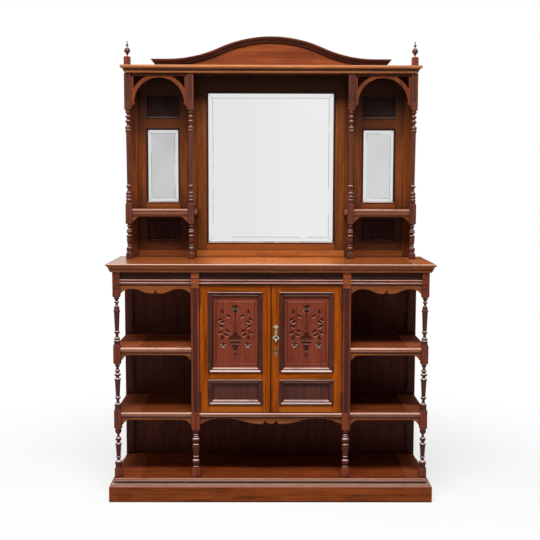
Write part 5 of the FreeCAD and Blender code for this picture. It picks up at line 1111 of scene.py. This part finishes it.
# Right halves of the brass outlines about their middle line, in millimetres: (across, up)
HANDLE_MIDDLE = 21
PLATE_HALF = [(0, 759), (2.2, 756), (1.8, 752.5), (5, 755), (7.2, 753), (6.2, 750), (11.6, 747.5), (8.5, 744),
              (4.6, 743), (5.6, 739), (5.8, 734), (4.2, 729), (6.2, 724), (5.4, 718), (2.4, 715), (0, 714.4)]
DROP_HALF = [(0, 729.5), (3.2, 728), (4.2, 724), (2.6, 719.5), (4, 716), (8.5, 710), (13, 704.5), (14.2, 700.5),
             (11.5, 696), (6.6, 692.6), (4.2, 690), (3.4, 687), (1.6, 685), (0, 683.4)]
DROP_PIERCING = [(2.1, 709.5), (8.8, 701.2), (7.4, 698.6), (2.1, 697.2)]
ESCUTCHEON_HALF = [(0, 668.8), (1.6, 665.6), (3.6, 663.4), (5.2, 660), (3.2, 656.8), (6.4, 653.6), (7.6, 649),
                   (5.6, 644.4), (3.2, 641.2), (6.2, 638.6), (8.7, 634), (5.4, 628.6), (2.2, 624.4), (0, 621.2)]
KEYHOLE_HALF = [(0, 651.2), (1.5, 650.5), (2.1, 649), (1.5, 647.5), (1.0, 646.6), (1.5, 642.4), (0, 642)]
# How far back the plates' faces lie, in millimetres
DOOR_FACE, LEAF_FACE, DROP_BACK, DROP_FACE, KEY_FACE = -181, -183.2, -186, -189.2, -182.6


def brass_fittings():
    """The drop handle on its leaf plate and the pierced key plate."""
    middle = HANDLE_MIDDLE
    leaf = cut_plate([rounded_outline(both_halves(PLATE_HALF, middle))], LEAF_FACE * MM, DOOR_FACE * MM,
                     edge=0.5 * MM)
    heart = domed_boss((middle, -183, 748), dome(radius=3.4, height=2.2))
    crown = domed_boss((middle, -183, 737.6), dome(radius=5.4, height=5.6))
    points, faces = joined(leaf, heart, crown)
    plate = mesh_piece("handle_leaf_plate", points, faces, "brass", BRASS_SMOOTH)
    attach(plate, "right_door")
    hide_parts("handle_backplate")
    holes = [[(MM * (middle + side * across), MM * up) for across, up in DROP_PIERCING] for side in (-1, 1)]
    rim = rounded_outline(both_halves(DROP_HALF, middle))
    pear = cut_plate([rim] + holes, DROP_FACE * MM, DROP_BACK * MM, edge=0.7 * MM)
    knob = domed_boss((middle, -187.8, 725.4), dome(radius=4.8, height=3.5))
    stud = domed_boss((middle, -188.6, 703), dome(radius=2.2, height=2.4))
    points, faces = joined(pear, knob, stud)
    drop = mesh_piece("handle_pear_drop", points, faces, "brass", BRASS_SMOOTH)
    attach(drop, "drop_handle")
    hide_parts("handle_drop")
    key_rim = rounded_outline(both_halves(ESCUTCHEON_HALF, middle))
    keyhole = rounded_outline(both_halves(KEYHOLE_HALF, middle))
    points, faces = cut_plate([key_rim, keyhole], KEY_FACE * MM, DOOR_FACE * MM, edge=0.45 * MM)
    cover = mesh_piece("key_plate", points, faces, "key_brass", BRASS_SMOOTH)
    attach(cover, "right_door")
    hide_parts("key_escutcheon")


carved_panels()
reeded_panels()
frieze_reeding()
plinth_bearers()
brass_fittings()


# Stage: pale floor, soft light and the photograph's camera

def floor():
    """A pale floor that runs into a white background and keeps a soft shadow."""
    bpy.ops.mesh.primitive_plane_add(size=60)
    ground = bpy.context.object
    ground.name = "floor"
    material = bpy.data.materials.new("floor_paint")
    material.use_nodes = True
    tree = material.node_tree
    tree.nodes.clear()
    matt = put(tree, "ShaderNodeBsdfDiffuse", Color=(0.86, 0.86, 0.86, 1))
    white = put(tree, "ShaderNodeEmission", Color=(1, 1, 1, 1), Strength=1.0)
    path = put(tree, "ShaderNodeLightPath").outputs
    seen = sums(tree, "MAXIMUM", path["Is Camera Ray"], path["Is Glossy Ray"])
    away = put(tree, "ShaderNodeVectorMath", {"operation": "LENGTH"})
    feed(tree, away.inputs[0], object_place(tree))
    near, far, near_share = 0.7, 2.2, 0.72
    share = spread(tree, away.outputs["Value"], near, far, near_share, 1.0)
    blend = put(tree, "ShaderNodeMixShader")
    for socket, value in zip(blend.inputs, (product(tree, seen, share), matt.outputs[0], white.outputs[0])):
        feed(tree, socket, value)
    put(tree, "ShaderNodeOutputMaterial", Surface=blend.outputs[0])
    ground.data.materials.append(material)


def world():
    """White to the eye and in reflections, softer as a light."""
    surroundings = bpy.data.worlds.new("studio")
    bpy.context.scene.world = surroundings
    surroundings.use_nodes = True
    tree = surroundings.node_tree
    tree.nodes.clear()
    path = put(tree, "ShaderNodeLightPath").outputs
    seen = sums(tree, "MAXIMUM", path["Is Camera Ray"],
                sums(tree, "MAXIMUM", path["Is Glossy Ray"], path["Is Transmission Ray"]))
    light = 0.07  # beside 1 to the eye
    strength = sums(tree, "ADD", light, product(tree, seen, 1 - light))
    background = put(tree, "ShaderNodeBackground", Color=(1, 1, 1, 1), Strength=strength)
    put(tree, "ShaderNodeOutputWorld", Surface=background.outputs[0])


def softbox(name, place, target, size, watts, reflected=True):
    """An area lamp aimed at a point, which mirrors and polished wood reflect or not."""
    lamp = bpy.data.lights.new(name, "AREA")
    lamp.shape = "RECTANGLE"
    lamp.size, lamp.size_y = size
    lamp.energy = watts
    holder = bpy.data.objects.new(name, lamp)
    holder.visible_glossy = reflected
    holder.location = place
    holder.rotation_euler = (Vector(target) - Vector(place)).to_track_quat("-Z", "Y").to_euler()
    bpy.context.scene.collection.objects.link(holder)


def camera():
    """The photograph's camera, from its place, turn and focal length in pixels."""
    place = Vector((-0.025, -4.122, 1.367))
    yaw, pitch, roll = (math.radians(angle) for angle in (0.296, 5.515, 0.13))
    focal_pixels, image_pixels, sensor = 951.9, 540, 36.0
    ahead = Vector((math.sin(yaw) * math.cos(pitch), math.cos(yaw) * math.cos(pitch), -math.sin(pitch)))
    level = Vector((math.cos(yaw), -math.sin(yaw), 0))
    rise = level.cross(ahead)
    right = level * math.cos(roll) + rise * math.sin(roll)
    up = rise * math.cos(roll) - level * math.sin(roll)
    lens = bpy.data.cameras.new("photo_camera")
    lens.sensor_width = sensor
    lens.lens = focal_pixels / image_pixels * sensor
    holder = bpy.data.objects.new("photo_camera", lens)
    turn = Matrix((right, up, -ahead)).transposed().to_4x4()
    holder.matrix_world = Matrix.Translation(place) @ turn
    bpy.context.scene.collection.objects.link(holder)
    bpy.context.scene.camera = holder


floor()
world()
softbox("overhead_softbox", (-0.2, -2.0, 3.9), (0, 0, 1.0), size=(2.6, 0.7), watts=205)
softbox("left_softbox", (-3.2, -1.2, 2.0), (-0.4, 0, 0.7), size=(1.2, 1.2), watts=14, reflected=False)
softbox("rear_softbox", (0.6, 3.8, 2.2), (0, 0, 0.9), size=(2.0, 2.0), watts=30, reflected=False)
camera()
bpy.context.scene.view_settings.view_transform = "Standard"
